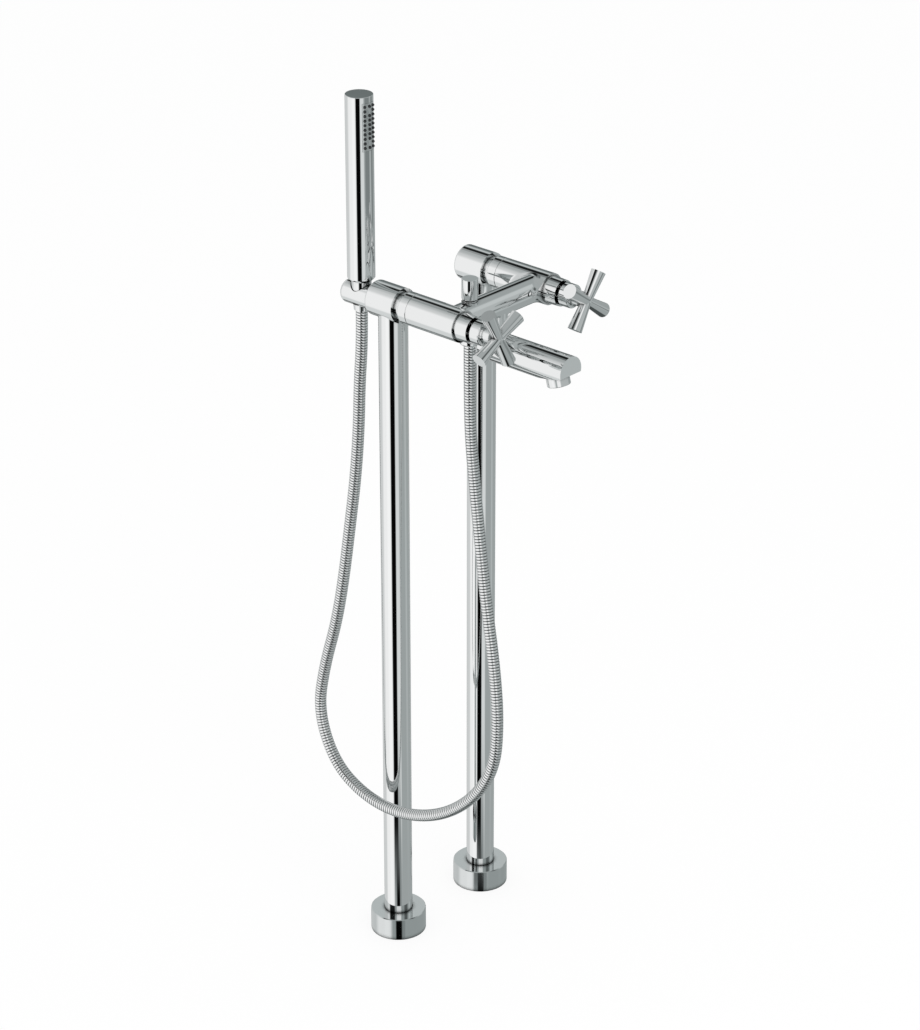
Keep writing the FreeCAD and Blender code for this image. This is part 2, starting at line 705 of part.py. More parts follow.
def mixer_body():
    """The hollow H-shaped casting that mixes, diverts and carries both valves."""
    blank = body_blank()
    tip = BARREL_FRONT
    line = size("arm_back") + size("collar_length")
    tools = []
    for side in SIDES:
        x = side_x(side)
        tools.append(turned(f"{side}_barrel_taper", [
            (size("barrel_root_diameter") / 2, SHOULDER), (ARM_R * 1.9, SHOULDER), (ARM_R * 1.9, tip + 1),
            (size("barrel_tip_diameter") / 2, tip + 1), (size("barrel_tip_diameter") / 2, tip - 1),
        ], x, 0, AXIS_Z, "front"))
        tools.append(turned(f"{side}_arm_bore", [
            (0, size("arm_back") - 1), (SPIGOT_R + SHAFT, size("arm_back") - 1),
            (SPIGOT_R + SHAFT, BODY_SHOULDER), (CHAMBER_R, BODY_SHOULDER),
            (CHAMBER_R, SEAT_FRONT - size("seat_web")), (size("seat_hole") / 2, SEAT_FRONT - size("seat_web")),
            (size("seat_hole") / 2, SEAT_FRONT), (CHAMBER_R, SEAT_FRONT), (CHAMBER_R, SHOULDER),
            (THREAD_R + SHAFT, SHOULDER), (THREAD_R + SHAFT, tip - RECESS_DEPTH),
            (HEX_R + 0.7, tip - RECESS_DEPTH), (HEX_R + 0.7, tip + 1), (0, tip + 1),
        ], x, 0, AXIS_Z, "front"))
        tools.append(turned(f"{side}_collar_line", [
            (ARM_R - LINE_DEPTH, line), (ARM_R + 1, line - 1 - LINE_DEPTH), (ARM_R + 1, line + 1 + LINE_DEPTH),
        ], x, 0, AXIS_Z, "front"))
        tools.append(cylinder(f"{side}_arm_screw_hole", LOCK_R - 0.5 + SHAFT, ARM_R, x, -LOCK_Y,
                              AXIS_Z - SPIGOT_R + 1, "down"))
    tools += [
        cylinder("mixing_way", MIX_R, size("leg_spacing"), -size("leg_spacing") / 2, MIX_Y, MIX_Z, "right"),
        cylinder("mid_chamber", DIVERTER_R, UPPER_SEAT - LOWER_SEAT, DIVERTER_X, BAR_Y, LOWER_SEAT),
        cylinder("upper_seat_hole", DIVERTER_R - 3, CHANNEL_TOP - LOWER_SEAT, DIVERTER_X, BAR_Y, LOWER_SEAT),
        cylinder("upper_chamber", DIVERTER_R, CHANNEL_TOP - CHANNEL_FOOT, DIVERTER_X, BAR_Y, CHANNEL_FOOT),
        cylinder("gland_hole", GLAND_R - 2 + SHAFT, BAR_R, DIVERTER_X, BAR_Y, CHANNEL_TOP),
        cylinder("outlet_hole", OUTLET_R - 1 + SLIP, LOWER_SEAT - OUTLET_FOOT + 1, DIVERTER_X, BAR_Y,
                 OUTLET_FOOT - 1),
        box("spout_channel", size("diverter_side") + 4, 11, CHANNEL_TOP - CHANNEL_FOOT,
            DIVERTER_X / 2 + 2, BAR_Y + 1, CHANNEL_FOOT),
        cylinder("spout_port", 5, CHANNEL_TOP - NECK_FOOT, 0, PORT_Y, NECK_FOOT),
        cylinder("nipple_socket", NIPPLE_R + SLIP, NIPPLE_DEPTH + 1, 0, BAR_Y, NECK_FOOT - 1),
    ]
    return keep(cut("body_cut", blank, tools), "mixer_body")


LINE_DEPTH = 0.5
NIPPLE_DEPTH = 11
mixer_body()

# ---------------------------------------------------------------------- valves

SEAL_THICKNESS = 2.0
VALVE_BACK = SEAT_FRONT + SEAL_THICKNESS
DISC_R = size("disc_diameter") / 2
DISC = size("disc_thickness")
SPINDLE_R = size("spindle_diameter") / 2
SPLINE_R = size("spline_diameter") / 2
CAGE_R = THREAD_R - 1.2
FIXED_START = VALVE_BACK + 0.2
TURNING_START = FIXED_START + DISC + 0.05
DRIVE_START = TURNING_START + DISC + 0.05
DRIVE_LENGTH = 4.0
CAGE_DEPTH = 24.0
HEX_START = BARREL_FRONT - RECESS_DEPTH + 1.2
HEX_LENGTH = 6.5
NECK_END = HEX_START + HEX_LENGTH + 6
SPINDLE_END = CROSS_Y - 8
CLIP_THICKNESS = 1.0
VALVE_GROOVES = (SHOULDER + 5, SHOULDER + 11)


def front_turned(name, profile, side):
    """A piece turned about one valve's axis; heights are distances in front of the standpipes."""
    return turned(name, profile, side_x(side), 0, AXIS_Z, "front")


def valve_body(side):
    """Brass headwork: windowed cage for the discs, thread, hexagon and spindle neck."""
    bore = SPINDLE_R + SHAFT
    blank = front_turned(f"{side}_headwork", [
        (DISC_R + SLIP, VALVE_BACK), (CAGE_R, VALVE_BACK), (CAGE_R, VALVE_BACK + CAGE_DEPTH),
        (THREAD_R, VALVE_BACK + CAGE_DEPTH + 1), (THREAD_R, HEX_START - 2),
        (THREAD_R - 1.5, HEX_START - 2), (THREAD_R - 1.5, HEX_START),
        (SPINDLE_R + 3, HEX_START), (SPINDLE_R + 3, NECK_END - 0.5), (SPINDLE_R + 2.5, NECK_END),
        (bore, NECK_END), (bore, VALVE_BACK + CAGE_DEPTH - 6), (DISC_R + SLIP, VALVE_BACK + CAGE_DEPTH - 6),
    ], side)
    collar = prism(f"{side}_hexagon", size("valve_hex"), HEX_LENGTH, side_x(side), -HEX_START, AXIS_Z, "front")
    collar_hole = cylinder(f"{side}_hexagon_hole", bore, HEX_LENGTH * 3, side_x(side),
                           -HEX_START + HEX_LENGTH, AXIS_Z, "front")
    window = box(f"{side}_window", CAGE_R * 3, 7, 8, side_x(side), -(DRIVE_START + 3.5), AXIS_Z - 4)
    solid = fused(f"{side}_headwork_solid", [blank, collar])
    return keep(cut(f"{side}_headwork_cut", solid, [collar_hole, window]), f"{side}_valve_body")


def spindle(side):
    """Turning spindle: forked drive behind, two ring grooves, clip groove and splined head."""
    groove = SPINDLE_R - 1.0
    first, second = VALVE_GROOVES
    clip = NECK_END + 0.1
    blank = front_turned(f"{side}_spindle_blank", [
        (0, DRIVE_START), (DISC_R - 0.2, DRIVE_START), (DISC_R - 0.2, DRIVE_START + DRIVE_LENGTH),
        (SPINDLE_R, DRIVE_START + DRIVE_LENGTH),
        (SPINDLE_R, first - GROOVE_HALF), (groove, first - GROOVE_HALF),
        (groove, first + GROOVE_HALF), (SPINDLE_R, first + GROOVE_HALF),
        (SPINDLE_R, second - GROOVE_HALF), (groove, second - GROOVE_HALF),
        (groove, second + GROOVE_HALF), (SPINDLE_R, second + GROOVE_HALF),
        (SPINDLE_R, clip), (SPLINE_R, clip), (SPLINE_R, SPINDLE_END - 0.8),
        (SPLINE_R - 0.8, SPINDLE_END), (0, SPINDLE_END),
    ], side)
    fork = box(f"{side}_fork_slot", DISC_R * 3, DRIVE_LENGTH, 3, side_x(side),
               -DRIVE_START, AXIS_Z + DISC_R * 0.35)
    return keep(cut(f"{side}_spindle_cut", blank, [fork]), f"{side}_spindle")


def ceramic_disc(side, name, start, port_angle):
    """Ceramic disc with the two quarter ports of a quarter-turn valve."""
    blank = front_turned(f"{side}_{name}_blank", ring_profile(0, DISC_R, start, start + DISC), side)
    ports = []
    for half in (0, 180):
        port = doc.addObject("Part::Cylinder", f"{side}_{name}_port_{half}")
        port.setExpression("Radius", (DISC_R - 1.4).text)
        port.setExpression("Height", (DISC * 3).text)
        port.Angle = 78
        turn = TURNS["front"].multiply(Rotation(Vector(0, 0, 1), port_angle + half))
        ports.append(place(port, side_x(side), -(start - DISC), AXIS_Z, turn))
    core = cylinder(f"{side}_{name}_core", 1.6, DISC, side_x(side), -start, AXIS_Z, "front")
    ported = cut(f"{side}_{name}_ported", blank, ports)
    return fused(f"{side}_{name}_solid", [ported, core])


def seat_seals():
    """The rubber ring between each valve and its seat in the body."""
    rings = [
        front_turned(f"{side}_seat_ring",
                     ring_profile(size("seat_hole") / 2 + 0.2, CAGE_R, SEAT_FRONT, VALVE_BACK), side)
        for side in SIDES
    ]
    return keep(group("seat_ring_set", rings), "valve_seat_seals")


def valve_rings(side):
    """The two seal rings on one spindle; they turn with it."""
    rings = [
        seal_ring(f"{side}_valve_ring_{n}", SPINDLE_R - 0.5 + SHAFT / 2, 0.46, side_x(side), -place_y, AXIS_Z,
                  "front")
        for n, place_y in enumerate(VALVE_GROOVES)
    ]
    return keep(group(f"{side}_valve_ring_set", rings), f"{side}_spindle_o_rings")


def spindle_clip(side):
    """Snap ring that keeps the spindle in its neck."""
    low = NECK_END + 0.2
    profile = ring_profile(SPLINE_R + SHAFT, SPINDLE_R + 1.8, low, low + CLIP_THICKNESS)
    ring = front_turned(f"{side}_clip_ring", profile, side)
    gap = box(f"{side}_clip_gap", 3, CLIP_THICKNESS * 3, SPINDLE_R * 2, side_x(side), -low - 0.5, AXIS_Z)
    return keep(cut(f"{side}_clip_cut", ring, [gap]), f"{side}_spindle_clip")


HUB_R_HANDLE = size("hub_diameter") / 2
SKIRT_R = size("skirt_diameter") / 2
SKIRT_END = HANDLE_START + size("skirt_length")
CROSS_ROOT_R = size("cross_root") / 2
CROSS_TIP_R = size("cross_tip") / 2
SCREW_Y = SPINDLE_END - 5


def crosshead(side):
    """Cast handle: hollow skirt, hub and four flaring arms with flat ends."""
    x = side_x(side)
    start = HANDLE_START
    hub = front_turned(f"{side}_hub", [
        (SKIRT_R - 1.6, start), (SKIRT_R, start), (SKIRT_R, SKIRT_END - 0.8), (SKIRT_R - 0.8, SKIRT_END),
        (HUB_R_HANDLE + 1.2, SKIRT_END), (HUB_R_HANDLE, SKIRT_END + 1.2),
        (HUB_R_HANDLE, CROSS_Y - 7), (CROSS_ROOT_R + 1, CROSS_Y - 3), (CROSS_ROOT_R, CROSS_Y),
        (0, CROSS_Y), (0, SPINDLE_END + 0.2), (SPLINE_R + SHAFT, SPINDLE_END + 0.2),
        (SPLINE_R + SHAFT, SKIRT_END - 1.6), (SKIRT_R - 1.6, SKIRT_END - 1.6),
    ], side)
    pieces = [hub]
    for quarter in range(4):
        angle = size(f"{side}_handle_turn").value + 90 * quarter
        turn = Rotation(Vector(0, 1, 0), 90 - angle)
        pieces.append(cone(f"{side}_cross_arm_{quarter}", CROSS_ROOT_R, CROSS_TIP_R, size("cross_reach"),
                           x, -CROSS_Y, AXIS_Z, turn))
    solid = fused(f"{side}_crosshead_solid", pieces)
    hole = cylinder(f"{side}_handle_screw_hole", 2 + SHAFT, HUB_R_HANDLE * 2, x, -SCREW_Y, AXIS_Z, "down")
    return keep(cut(f"{side}_crosshead_cut", solid, [hole]), f"{side}_handle")


def handle_screw(side):
    """Grub screw from below that clamps the handle to its spindle."""
    length = HUB_R_HANDLE - SPLINE_R - 0.6
    return keep(grub_screw(f"{side}_clamp_screw", as_size(2.0), length, side_x(side), -SCREW_Y,
                           AXIS_Z - SPLINE_R - 0.1, "down"), f"{side}_handle_screw")


for side in SIDES:
    valve_body(side)
    keep(ceramic_disc(side, "turning_disc", TURNING_START, 96), f"{side}_turning_disc")
    spindle(side)
    spindle_clip(side)
    valve_rings(side)
    crosshead(side)
    handle_screw(side)
keep(group("fixed_disc_set", [ceramic_disc(side, "fixed_disc", FIXED_START, 6) for side in SIDES]),
     "fixed_discs")
seat_seals()

# -------------------------------------------------------------------- diverter

KNOB_FOOT = AXIS_Z + size("knob_lift")
KNOB_TOP = KNOB_FOOT + size("knob_height")
STEM_R = size("stem_diameter") / 2
PISTON_R = DIVERTER_R - 0.6
LOWER_SEAL_FOOT = LOWER_SEAT + 0.1
SEAL_HEIGHT = 1.4
PISTON_FOOT = LOWER_SEAL_FOOT + SEAL_HEIGHT
PISTON_TOP = UPPER_SEAT - size("diverter_travel") - SEAL_HEIGHT - 0.2
GLAND_TOP = AXIS_Z + BAR_R + 1.6


def above_outlet(name, profile):
    """A piece turned about the diverter's upright axis; heights are above the floor."""
    return turned(name, profile, DIVERTER_X, BAR_Y, 0)


def diverter():
    """Pull knob, stem, piston, seals, gland and the shower outlet below them."""
    knob_r = size("knob_diameter") / 2
    keep(above_outlet("knob_turned", [
        (STEM_R + SHAFT, KNOB_FOOT), (knob_r - 0.8, KNOB_FOOT), (knob_r, KNOB_FOOT + 0.8),
        (knob_r, KNOB_TOP - 0.5), (knob_r - 0.5, KNOB_TOP), (0, KNOB_TOP),
        (0, KNOB_TOP - 5), (STEM_R + SHAFT, KNOB_TOP - 5),
    ]), "diverter_knob")
    keep(above_outlet("stem_turned", [
        (0, PISTON_FOOT - 1), (STEM_R - 1, PISTON_FOOT - 1), (STEM_R - 1, PISTON_TOP + SEAL_HEIGHT + 0.2),
        (STEM_R, PISTON_TOP + SEAL_HEIGHT + 0.2), (STEM_R, KNOB_TOP - 5.1), (0, KNOB_TOP - 5.1),
    ]), "diverter_stem")
    keep(above_outlet("piston_turned", ring_profile(STEM_R - 1 + SHAFT, PISTON_R, PISTON_FOOT, PISTON_TOP)),
         "diverter_piston")
    inner = STEM_R - 1 + SHAFT
    lower = above_outlet("lower_seal", ring_profile(inner, PISTON_R - 0.4, LOWER_SEAL_FOOT, PISTON_FOOT))
    upper = above_outlet("upper_seal", ring_profile(inner, PISTON_R - 0.4, PISTON_TOP, PISTON_TOP + SEAL_HEIGHT))
    keep(group("seal_set", [lower, upper]), "diverter_seals")
    keep(above_outlet("gland_turned", [
        (STEM_R + SHAFT, CHANNEL_TOP), (GLAND_R - 2, CHANNEL_TOP), (GLAND_R - 2, AXIS_Z + BAR_R),
        (GLAND_R - 0.6, AXIS_Z + BAR_R), (GLAND_R - 0.6, GLAND_TOP - 0.4), (GLAND_R - 1.0, GLAND_TOP),
        (STEM_R + SHAFT, GLAND_TOP), (STEM_R + SHAFT, AXIS_Z + BAR_R), (STEM_R + 1.2, AXIS_Z + BAR_R),
        (STEM_R + 1.2, AXIS_Z + BAR_R - 2.2), (STEM_R + SHAFT, AXIS_Z + BAR_R - 2.2),
    ]), "diverter_gland")
    keep(seal_ring("stem_ring", STEM_R + 0.62, 0.5, DIVERTER_X, BAR_Y, AXIS_Z + BAR_R - 1.1), "diverter_stem_ring")
    nipple_way = size("hose_bore") / 2 + 1
    keep(above_outlet("nipple_turned", [
        (nipple_way, OUTLET_FOOT - 9), (OUTLET_R, OUTLET_FOOT - 9), (OUTLET_R, OUTLET_FOOT),
        (OUTLET_R - 1, OUTLET_FOOT), (OUTLET_R - 1, LOWER_SEAT), (nipple_way, LOWER_SEAT),
    ]), "shower_outlet_nipple")


diverter()

# ----------------------------------------------------------------------- spout

SPOUT_R = size("spout_diameter") / 2
SPOUT_Z = AXIS_Z - size("spout_drop")
SPOUT_LENGTH = size("spout_tip") - size("spout_back")
SLOPE = math.radians(size("underside_angle").value)
TIP_FOOT = SPOUT_Z + SPOUT_R - size("tip_face")
AERATOR_Y = -(size("spout_tip") - size("aerator_setback"))
AERATOR_Z = TIP_FOOT - size("aerator_setback") * math.tan(SLOPE)
AERATOR_TURN = Rotation(Vector(1, 0, 0), 180 - size("underside_angle").value)
AERATOR_R = size("aerator_diameter") / 2
AERATOR_SOCKET = 6.0
NECK_RING_R = NIPPLE_R + 1.8
NECK_RING_SECTION = as_size(0.8)


def along_outlet(distance):
    """The point at that distance along the aerator's axis, from the sloped face outwards."""
    way = AERATOR_TURN.multVec(Vector(0, 0, 1))
    return AERATOR_Y + way.y * distance, AERATOR_Z + way.z * distance


def outlet_turned(name, profile, start=0.0):
    """A piece turned about the aerator's tilted axis, starting at that distance outwards."""
    y, z = along_outlet(start)
    return turned(name, profile, 0, y, z, AERATOR_TURN)


def spout():
    """Hollow horizontal tube with its neck, flat tip, rising underside and aerator socket."""
    tube = cylinder("spout_tube", SPOUT_R, SPOUT_LENGTH, 0, -size("spout_back"), SPOUT_Z, "front")
    back_rounded = rounded("spout_rounded", tube, size("spout_round"),
                           lambda edge: flat_at_y(edge, -size("spout_back")))
    neck = cylinder("spout_neck", NECK_R, NECK_FOOT - SPOUT_Z, 0, BAR_Y, SPOUT_Z)
    joined = fused("spout_joined", [back_rounded, neck])

    def at_neck(edge):
        middle = edge.CenterOfMass
        beside = max(abs(middle.x), abs(middle.y - BAR_Y.value)) < NECK_R.value
        curved = max(edge.BoundBox.XLength, edge.BoundBox.YLength) > 0.5
        return beside and curved and SPOUT_Z.value + 5 < middle.z < NECK_FOOT.value - 1

    blended = rounded("spout_blended", joined, size("neck_blend") * 0.75, at_neck)
    body = doc.addObject("PartDesign::Body", "underside")
    depth = size("tip_face")
    slope = math.tan(SLOPE)
    outline = closed_sketch(body, "underside_outline", [
        (0, 0), (SPOUT_LENGTH, SPOUT_LENGTH * slope), (SPOUT_LENGTH, SPOUT_LENGTH * slope + depth),
        (-depth, SPOUT_LENGTH * slope + depth), (-depth, 0),
    ], "YZ_Plane")
    pad = body.newObject("PartDesign::Pad", "underside_pad")
    pad.Profile = outline
    pad.setExpression("Length", (SPOUT_R * 3).text)
    pad.Midplane = True
    place(body, 0, -size("spout_tip"), TIP_FOOT, Rotation(Vector(0, 1, 0), 180))
    inner = SPOUT_R - size("spout_wall")
    tools = [
        body,
        cylinder("spout_bore_back", inner, SPOUT_LENGTH * 0.45, 0, -size("spout_back") - size("spout_wall"),
                 SPOUT_Z, "front"),
        cylinder("spout_bore_front", inner * 0.62, SPOUT_LENGTH - size("aerator_setback") - size("spout_wall"), 0,
                 -size("spout_back") - size("spout_wall"), SPOUT_Z + inner * 0.32, "front"),
        cylinder("spout_neck_bore", 6, NECK_FOOT - SPOUT_Z + 1, 0, BAR_Y, SPOUT_Z),
        cylinder("spout_nipple_hole", NIPPLE_R + SLIP, 8, 0, BAR_Y, NECK_FOOT - 7),
        turned("spout_ring_groove", ring_profile(
            NECK_RING_R - NECK_RING_SECTION - SLIP, NECK_RING_R + NECK_RING_SECTION + SLIP,
            NECK_FOOT - NECK_RING_SECTION * 2 - SLIP, NECK_FOOT + 1), 0, BAR_Y, 0),
    ]
    y, z = along_outlet(-AERATOR_SOCKET)
    tools.append(cylinder("aerator_socket", AERATOR_R - 1 + SLIP, AERATOR_SOCKET + 10, 0, y, z, AERATOR_TURN))
    y, z = along_outlet(-AERATOR_SOCKET - 9)
    tools.append(cylinder("aerator_feed", AERATOR_R - 4.5, 10, 0, y, z, AERATOR_TURN))
    return keep(cut("spout_cut", blended, tools), "spout")


def spout_joint():
    """The threaded nipple and the seal ring between the body's neck and the spout's."""
    length = NIPPLE_DEPTH + 6
    keep(turned("nipple", ring_profile(5.5, NIPPLE_R, 0, length), 0, BAR_Y, NECK_FOOT - 6.5), "spout_nipple")
    keep(seal_ring("neck_ring", NECK_RING_R, NECK_RING_SECTION, 0, BAR_Y,
                   NECK_FOOT - NECK_RING_SECTION - SHAFT), "spout_o_ring")


def aerator():
    """Screwed housing, flow straightener and washer in the tilted outlet."""
    height = size("aerator_height")
    keep(outlet_turned("housing", [
        (AERATOR_R - 3, 0), (AERATOR_R - 1, 0), (AERATOR_R - 1, AERATOR_SOCKET - 1),
        (AERATOR_R, AERATOR_SOCKET - 1), (AERATOR_R, AERATOR_SOCKET + height - 1.6),
        (AERATOR_R - 0.6, AERATOR_SOCKET + height - 1), (AERATOR_R - 2.4, AERATOR_SOCKET + height - 1),
        (AERATOR_R - 2.4, AERATOR_SOCKET + height - 2.4), (AERATOR_R - 3, AERATOR_SOCKET + height - 2.4),
    ], -AERATOR_SOCKET + 1), "aerator_housing")
    insert_r = AERATOR_R - 3 - SLIP
    blank = outlet_turned("insert_blank", ring_profile(0, insert_r, 0, AERATOR_SOCKET + height - 3),
                          -AERATOR_SOCKET + 1.2)
    cells = []
    for ring, (count, radius) in enumerate(((1, 0.0), (6, 3.0), (12, 5.9), (18, 8.8))):
        for n in range(count):
            angle = 2 * math.pi * n / count
            shift = AERATOR_TURN.multVec(Vector(radius * math.cos(angle), radius * math.sin(angle), 0))
            y, z = along_outlet(AERATOR_SOCKET * 0.2)
            cells.append(cylinder(f"cell_{ring}_{n}", 1.1, height * 2, shift.x, y + shift.y, z + shift.z,
                                  AERATOR_TURN))
    keep(cut("insert_cut", blank, cells), "aerator_insert")
    keep(outlet_turned("washer", ring_profile(AERATOR_R - 5, AERATOR_R - 1.2, 0, 0.9), -AERATOR_SOCKET + 0.05),
         "aerator_washer")


spout()
spout_joint()
aerator()

# ----------------------------------------------------------------- hand shower

HANDSET_X = side_x("hot")
HANDSET_R = size("handset_diameter") / 2
HANDSET_FOOT = AXIS_Z + size("handset_rise")
HANDSET_TOP = HANDSET_FOOT + size("handset_length")
CAP_FOOT = HANDSET_TOP - size("cap_thickness")
SHELL_R = HANDSET_R - size("handset_wall")
CONNECTOR_R = 10.3
CONNECTOR_DROP = 9.0
FLOOR_THICKNESS = 5.0
SPRAY_TOP = HANDSET_TOP - size("spray_top_gap")
SPRAY_FOOT = SPRAY_TOP - size("spray_height")
WASHER_THICKNESS = 2.0
FERRULE_TOP = HANDSET_FOOT - CONNECTOR_DROP - WASHER_THICKNESS
CONE_TOP_R = LINER_TOP_R - size("liner_wall") - FREE
CONE_FOOT_R = LINER_FOOT_R - size("liner_wall") - FREE
CONE_FOOT = LINER_FOOT - 8
HOSE_R = size("hose_diameter") / 2
HOSE_END_Z = CONE_FOOT + 4


def on_handset(name, profile):
    """A piece turned about the hand shower's upright axis; heights are above the floor."""
    return turned(name, profile, HANDSET_X, HANDSET_Y, 0)


def handset_shell():
    """Tubular shell with a chamfered foot and the window for the spray plate."""
    chamfer = size("handset_chamfer")
    tube = on_handset("handset_tube", [
        (CONNECTOR_R + SLIP, HANDSET_FOOT), (HANDSET_R - chamfer, HANDSET_FOOT),
        (HANDSET_R, HANDSET_FOOT + chamfer), (HANDSET_R, CAP_FOOT), (SHELL_R, CAP_FOOT),
        (SHELL_R, HANDSET_FOOT + FLOOR_THICKNESS), (CONNECTOR_R + SLIP, HANDSET_FOOT + FLOOR_THICKNESS),
    ])
    window = box("spray_window", size("spray_width"), HANDSET_R, size("spray_height"),
                 HANDSET_X, HANDSET_Y - HANDSET_R, SPRAY_FOOT)
    return keep(cut("handset_tube_cut", tube, [window]), "handset_body")


def spray_face():
    """The curved spray plate, flush with the shell, and the rubber nozzles through it."""
    gap = SLIP * 2
    width = size("spray_width") - gap * 2
    height = size("spray_height") - gap * 2
    inner = SHELL_R - 1.5
    ring = on_handset("plate_ring", ring_profile(inner, HANDSET_R, SPRAY_FOOT + gap, SPRAY_TOP - gap))
    limit = box("plate_limit", width, HANDSET_R, height, HANDSET_X, HANDSET_Y - HANDSET_R, SPRAY_FOOT + gap)
    plate = doc.addObject("Part::Common", "plate_blank")
    plate.Base = ring
    plate.Tool = limit
    pad_ring = on_handset("pad_ring", ring_profile(inner - 1.6, inner - 0.1, SPRAY_FOOT + 2, SPRAY_TOP - 2))
    pad_limit = box("pad_limit", width - 2, HANDSET_R, height, HANDSET_X, HANDSET_Y - HANDSET_R, SPRAY_FOOT)
    pad = doc.addObject("Part::Common", "nozzle_pad")
    pad.Base = pad_ring
    pad.Tool = pad_limit
    holes = []
    nozzles = [pad]
    middle = SPRAY_FOOT + size("spray_height") / 2
    for row in range(NOZZLE_ROWS):
        second_from_end = row in (1, NOZZLE_ROWS - 2)
        angles = NOZZLE_ANGLES[::2] if second_from_end else NOZZLE_ANGLES
        height_here = middle + size("nozzle_pitch") * (row - (NOZZLE_ROWS - 1) / 2)
        for angle in angles:
            turn = Rotation(Vector(0, 0, 1), angle).multiply(TURNS["front"])
            way = turn.multVec(Vector(0, 0, 1))
            start = inner.value - 1.0
            x, y = HANDSET_X + way.x * start, HANDSET_Y + way.y * start
            name = f"nozzle_{row}_{angle}"
            holes.append(cylinder(name + "_hole", size("nozzle_diameter") / 2 + SHAFT, HANDSET_R, x, y,
                                  height_here, turn))
            nozzles.append(cylinder(name, size("nozzle_diameter") / 2, HANDSET_R - inner + 1.0
                                    + size("nozzle_stand"), x, y, height_here, turn))
    keep(cut("plate_cut", plate, holes), "spray_plate")
    keep(fused("nozzles_solid", nozzles), "spray_nozzles")


def handset_inside():
    """Top cap, water tube with its spray chamber, and the threaded connector."""
    keep(on_handset("cap_turned", [
        (0, CAP_FOOT - 4), (SHELL_R - SLIP, CAP_FOOT - 4), (SHELL_R - SLIP, CAP_FOOT), (HANDSET_R, CAP_FOOT),
        (HANDSET_R, HANDSET_TOP - 0.5), (HANDSET_R - 0.5, HANDSET_TOP), (0, HANDSET_TOP),
    ]), "handset_top_cap")
    foot = HANDSET_FOOT + FLOOR_THICKNESS + 3
    chamber = SPRAY_FOOT - 2
    way = on_handset("water_tube_turned", [
        (6, foot), (8, foot), (8, chamber - 6), (SHELL_R - 0.4, chamber), (SHELL_R - 0.4, CAP_FOOT - 4.2),
        (SHELL_R - 2.4, CAP_FOOT - 4.2), (SHELL_R - 2.4, chamber + 1), (6, chamber - 5),
    ])
    opening = box("chamber_window", size("spray_width") + 3, HANDSET_R, size("spray_height") + 1,
                  HANDSET_X, HANDSET_Y - HANDSET_R + 2, SPRAY_FOOT - 0.5)
    keep(cut("water_tube_cut", way, [opening]), "handset_waterway")
    flange = HANDSET_FOOT + FLOOR_THICKNESS
    bore = size("hose_bore") / 2
    keep(on_handset("connector_turned", [
        (bore, HANDSET_FOOT - CONNECTOR_DROP), (CONNECTOR_R, HANDSET_FOOT - CONNECTOR_DROP),
        (CONNECTOR_R, flange), (SHELL_R - 0.4, flange), (SHELL_R - 0.4, flange + 3), (bore, flange + 3),
    ]), "handset_connector")


handset_shell()
spray_face()
handset_inside()

# ----------------------------------------------------------------- shower hose


def hose_ends():
    """Conical nut and ferrule at the hand shower; nut and washers at the diverter."""
    thread = CONNECTOR_R + SLIP
    pocket = HOSE_R + 1.4
    keep(on_handset("cone_nut_turned", [
        (HOSE_R + 0.6, CONE_FOOT), (CONE_FOOT_R - 0.8, CONE_FOOT), (CONE_FOOT_R, LINER_FOOT),
        (CONE_TOP_R, LINER_TOP), (CONE_TOP_R, LINER_TOP + FREE), (LINER_TOP_R - 0.7, LINER_TOP + FREE),
        (LINER_TOP_R - 0.7, HANDSET_FOOT), (thread, HANDSET_FOOT), (thread, FERRULE_TOP),
        (pocket, FERRULE_TOP), (pocket, HOSE_END_Z - 0.4), (HOSE_R + 0.6, HOSE_END_Z - 0.4),
    ]), "hose_cone_nut")
    bore = size("hose_bore") / 2
    keep(on_handset("ferrule_turned", ring_profile(bore, pocket - FREE, HOSE_END_Z, FERRULE_TOP)), "hose_ferrule")
    keep(on_handset("cone_washer_turned", ring_profile(bore, CONNECTOR_R - 0.3, FERRULE_TOP + 0.05,
                                                       HANDSET_FOOT - CONNECTOR_DROP)), "handset_washer")
    nut_r = OUTLET_R + 1.6
    washer_top = OUTLET_FOOT - 9
    keep(above_outlet("outlet_nut_turned", [
        (HOSE_R + SLIP, OUTLET_NUT_FOOT), (nut_r - 1.5, OUTLET_NUT_FOOT), (nut_r, OUTLET_NUT_FOOT + 1.5),
        (nut_r, OUTLET_FOOT - 1.0), (nut_r - 0.5, OUTLET_FOOT - 0.5), (OUTLET_R + SLIP, OUTLET_FOOT - 0.5),
        (OUTLET_R + SLIP, washer_top - WASHER_THICKNESS), (HOSE_R + SLIP, washer_top - WASHER_THICKNESS),
    ]), "hose_outlet_nut")
    keep(above_outlet("outlet_washer_turned", ring_profile(bore, OUTLET_R - 0.3, washer_top - WASHER_THICKNESS,
                                                           washer_top)), "outlet_washer")


OUTLET_NUT_FOOT = OUTLET_FOOT - 13
HOSE_START_Z = OUTLET_FOOT - 9 - WASHER_THICKNESS

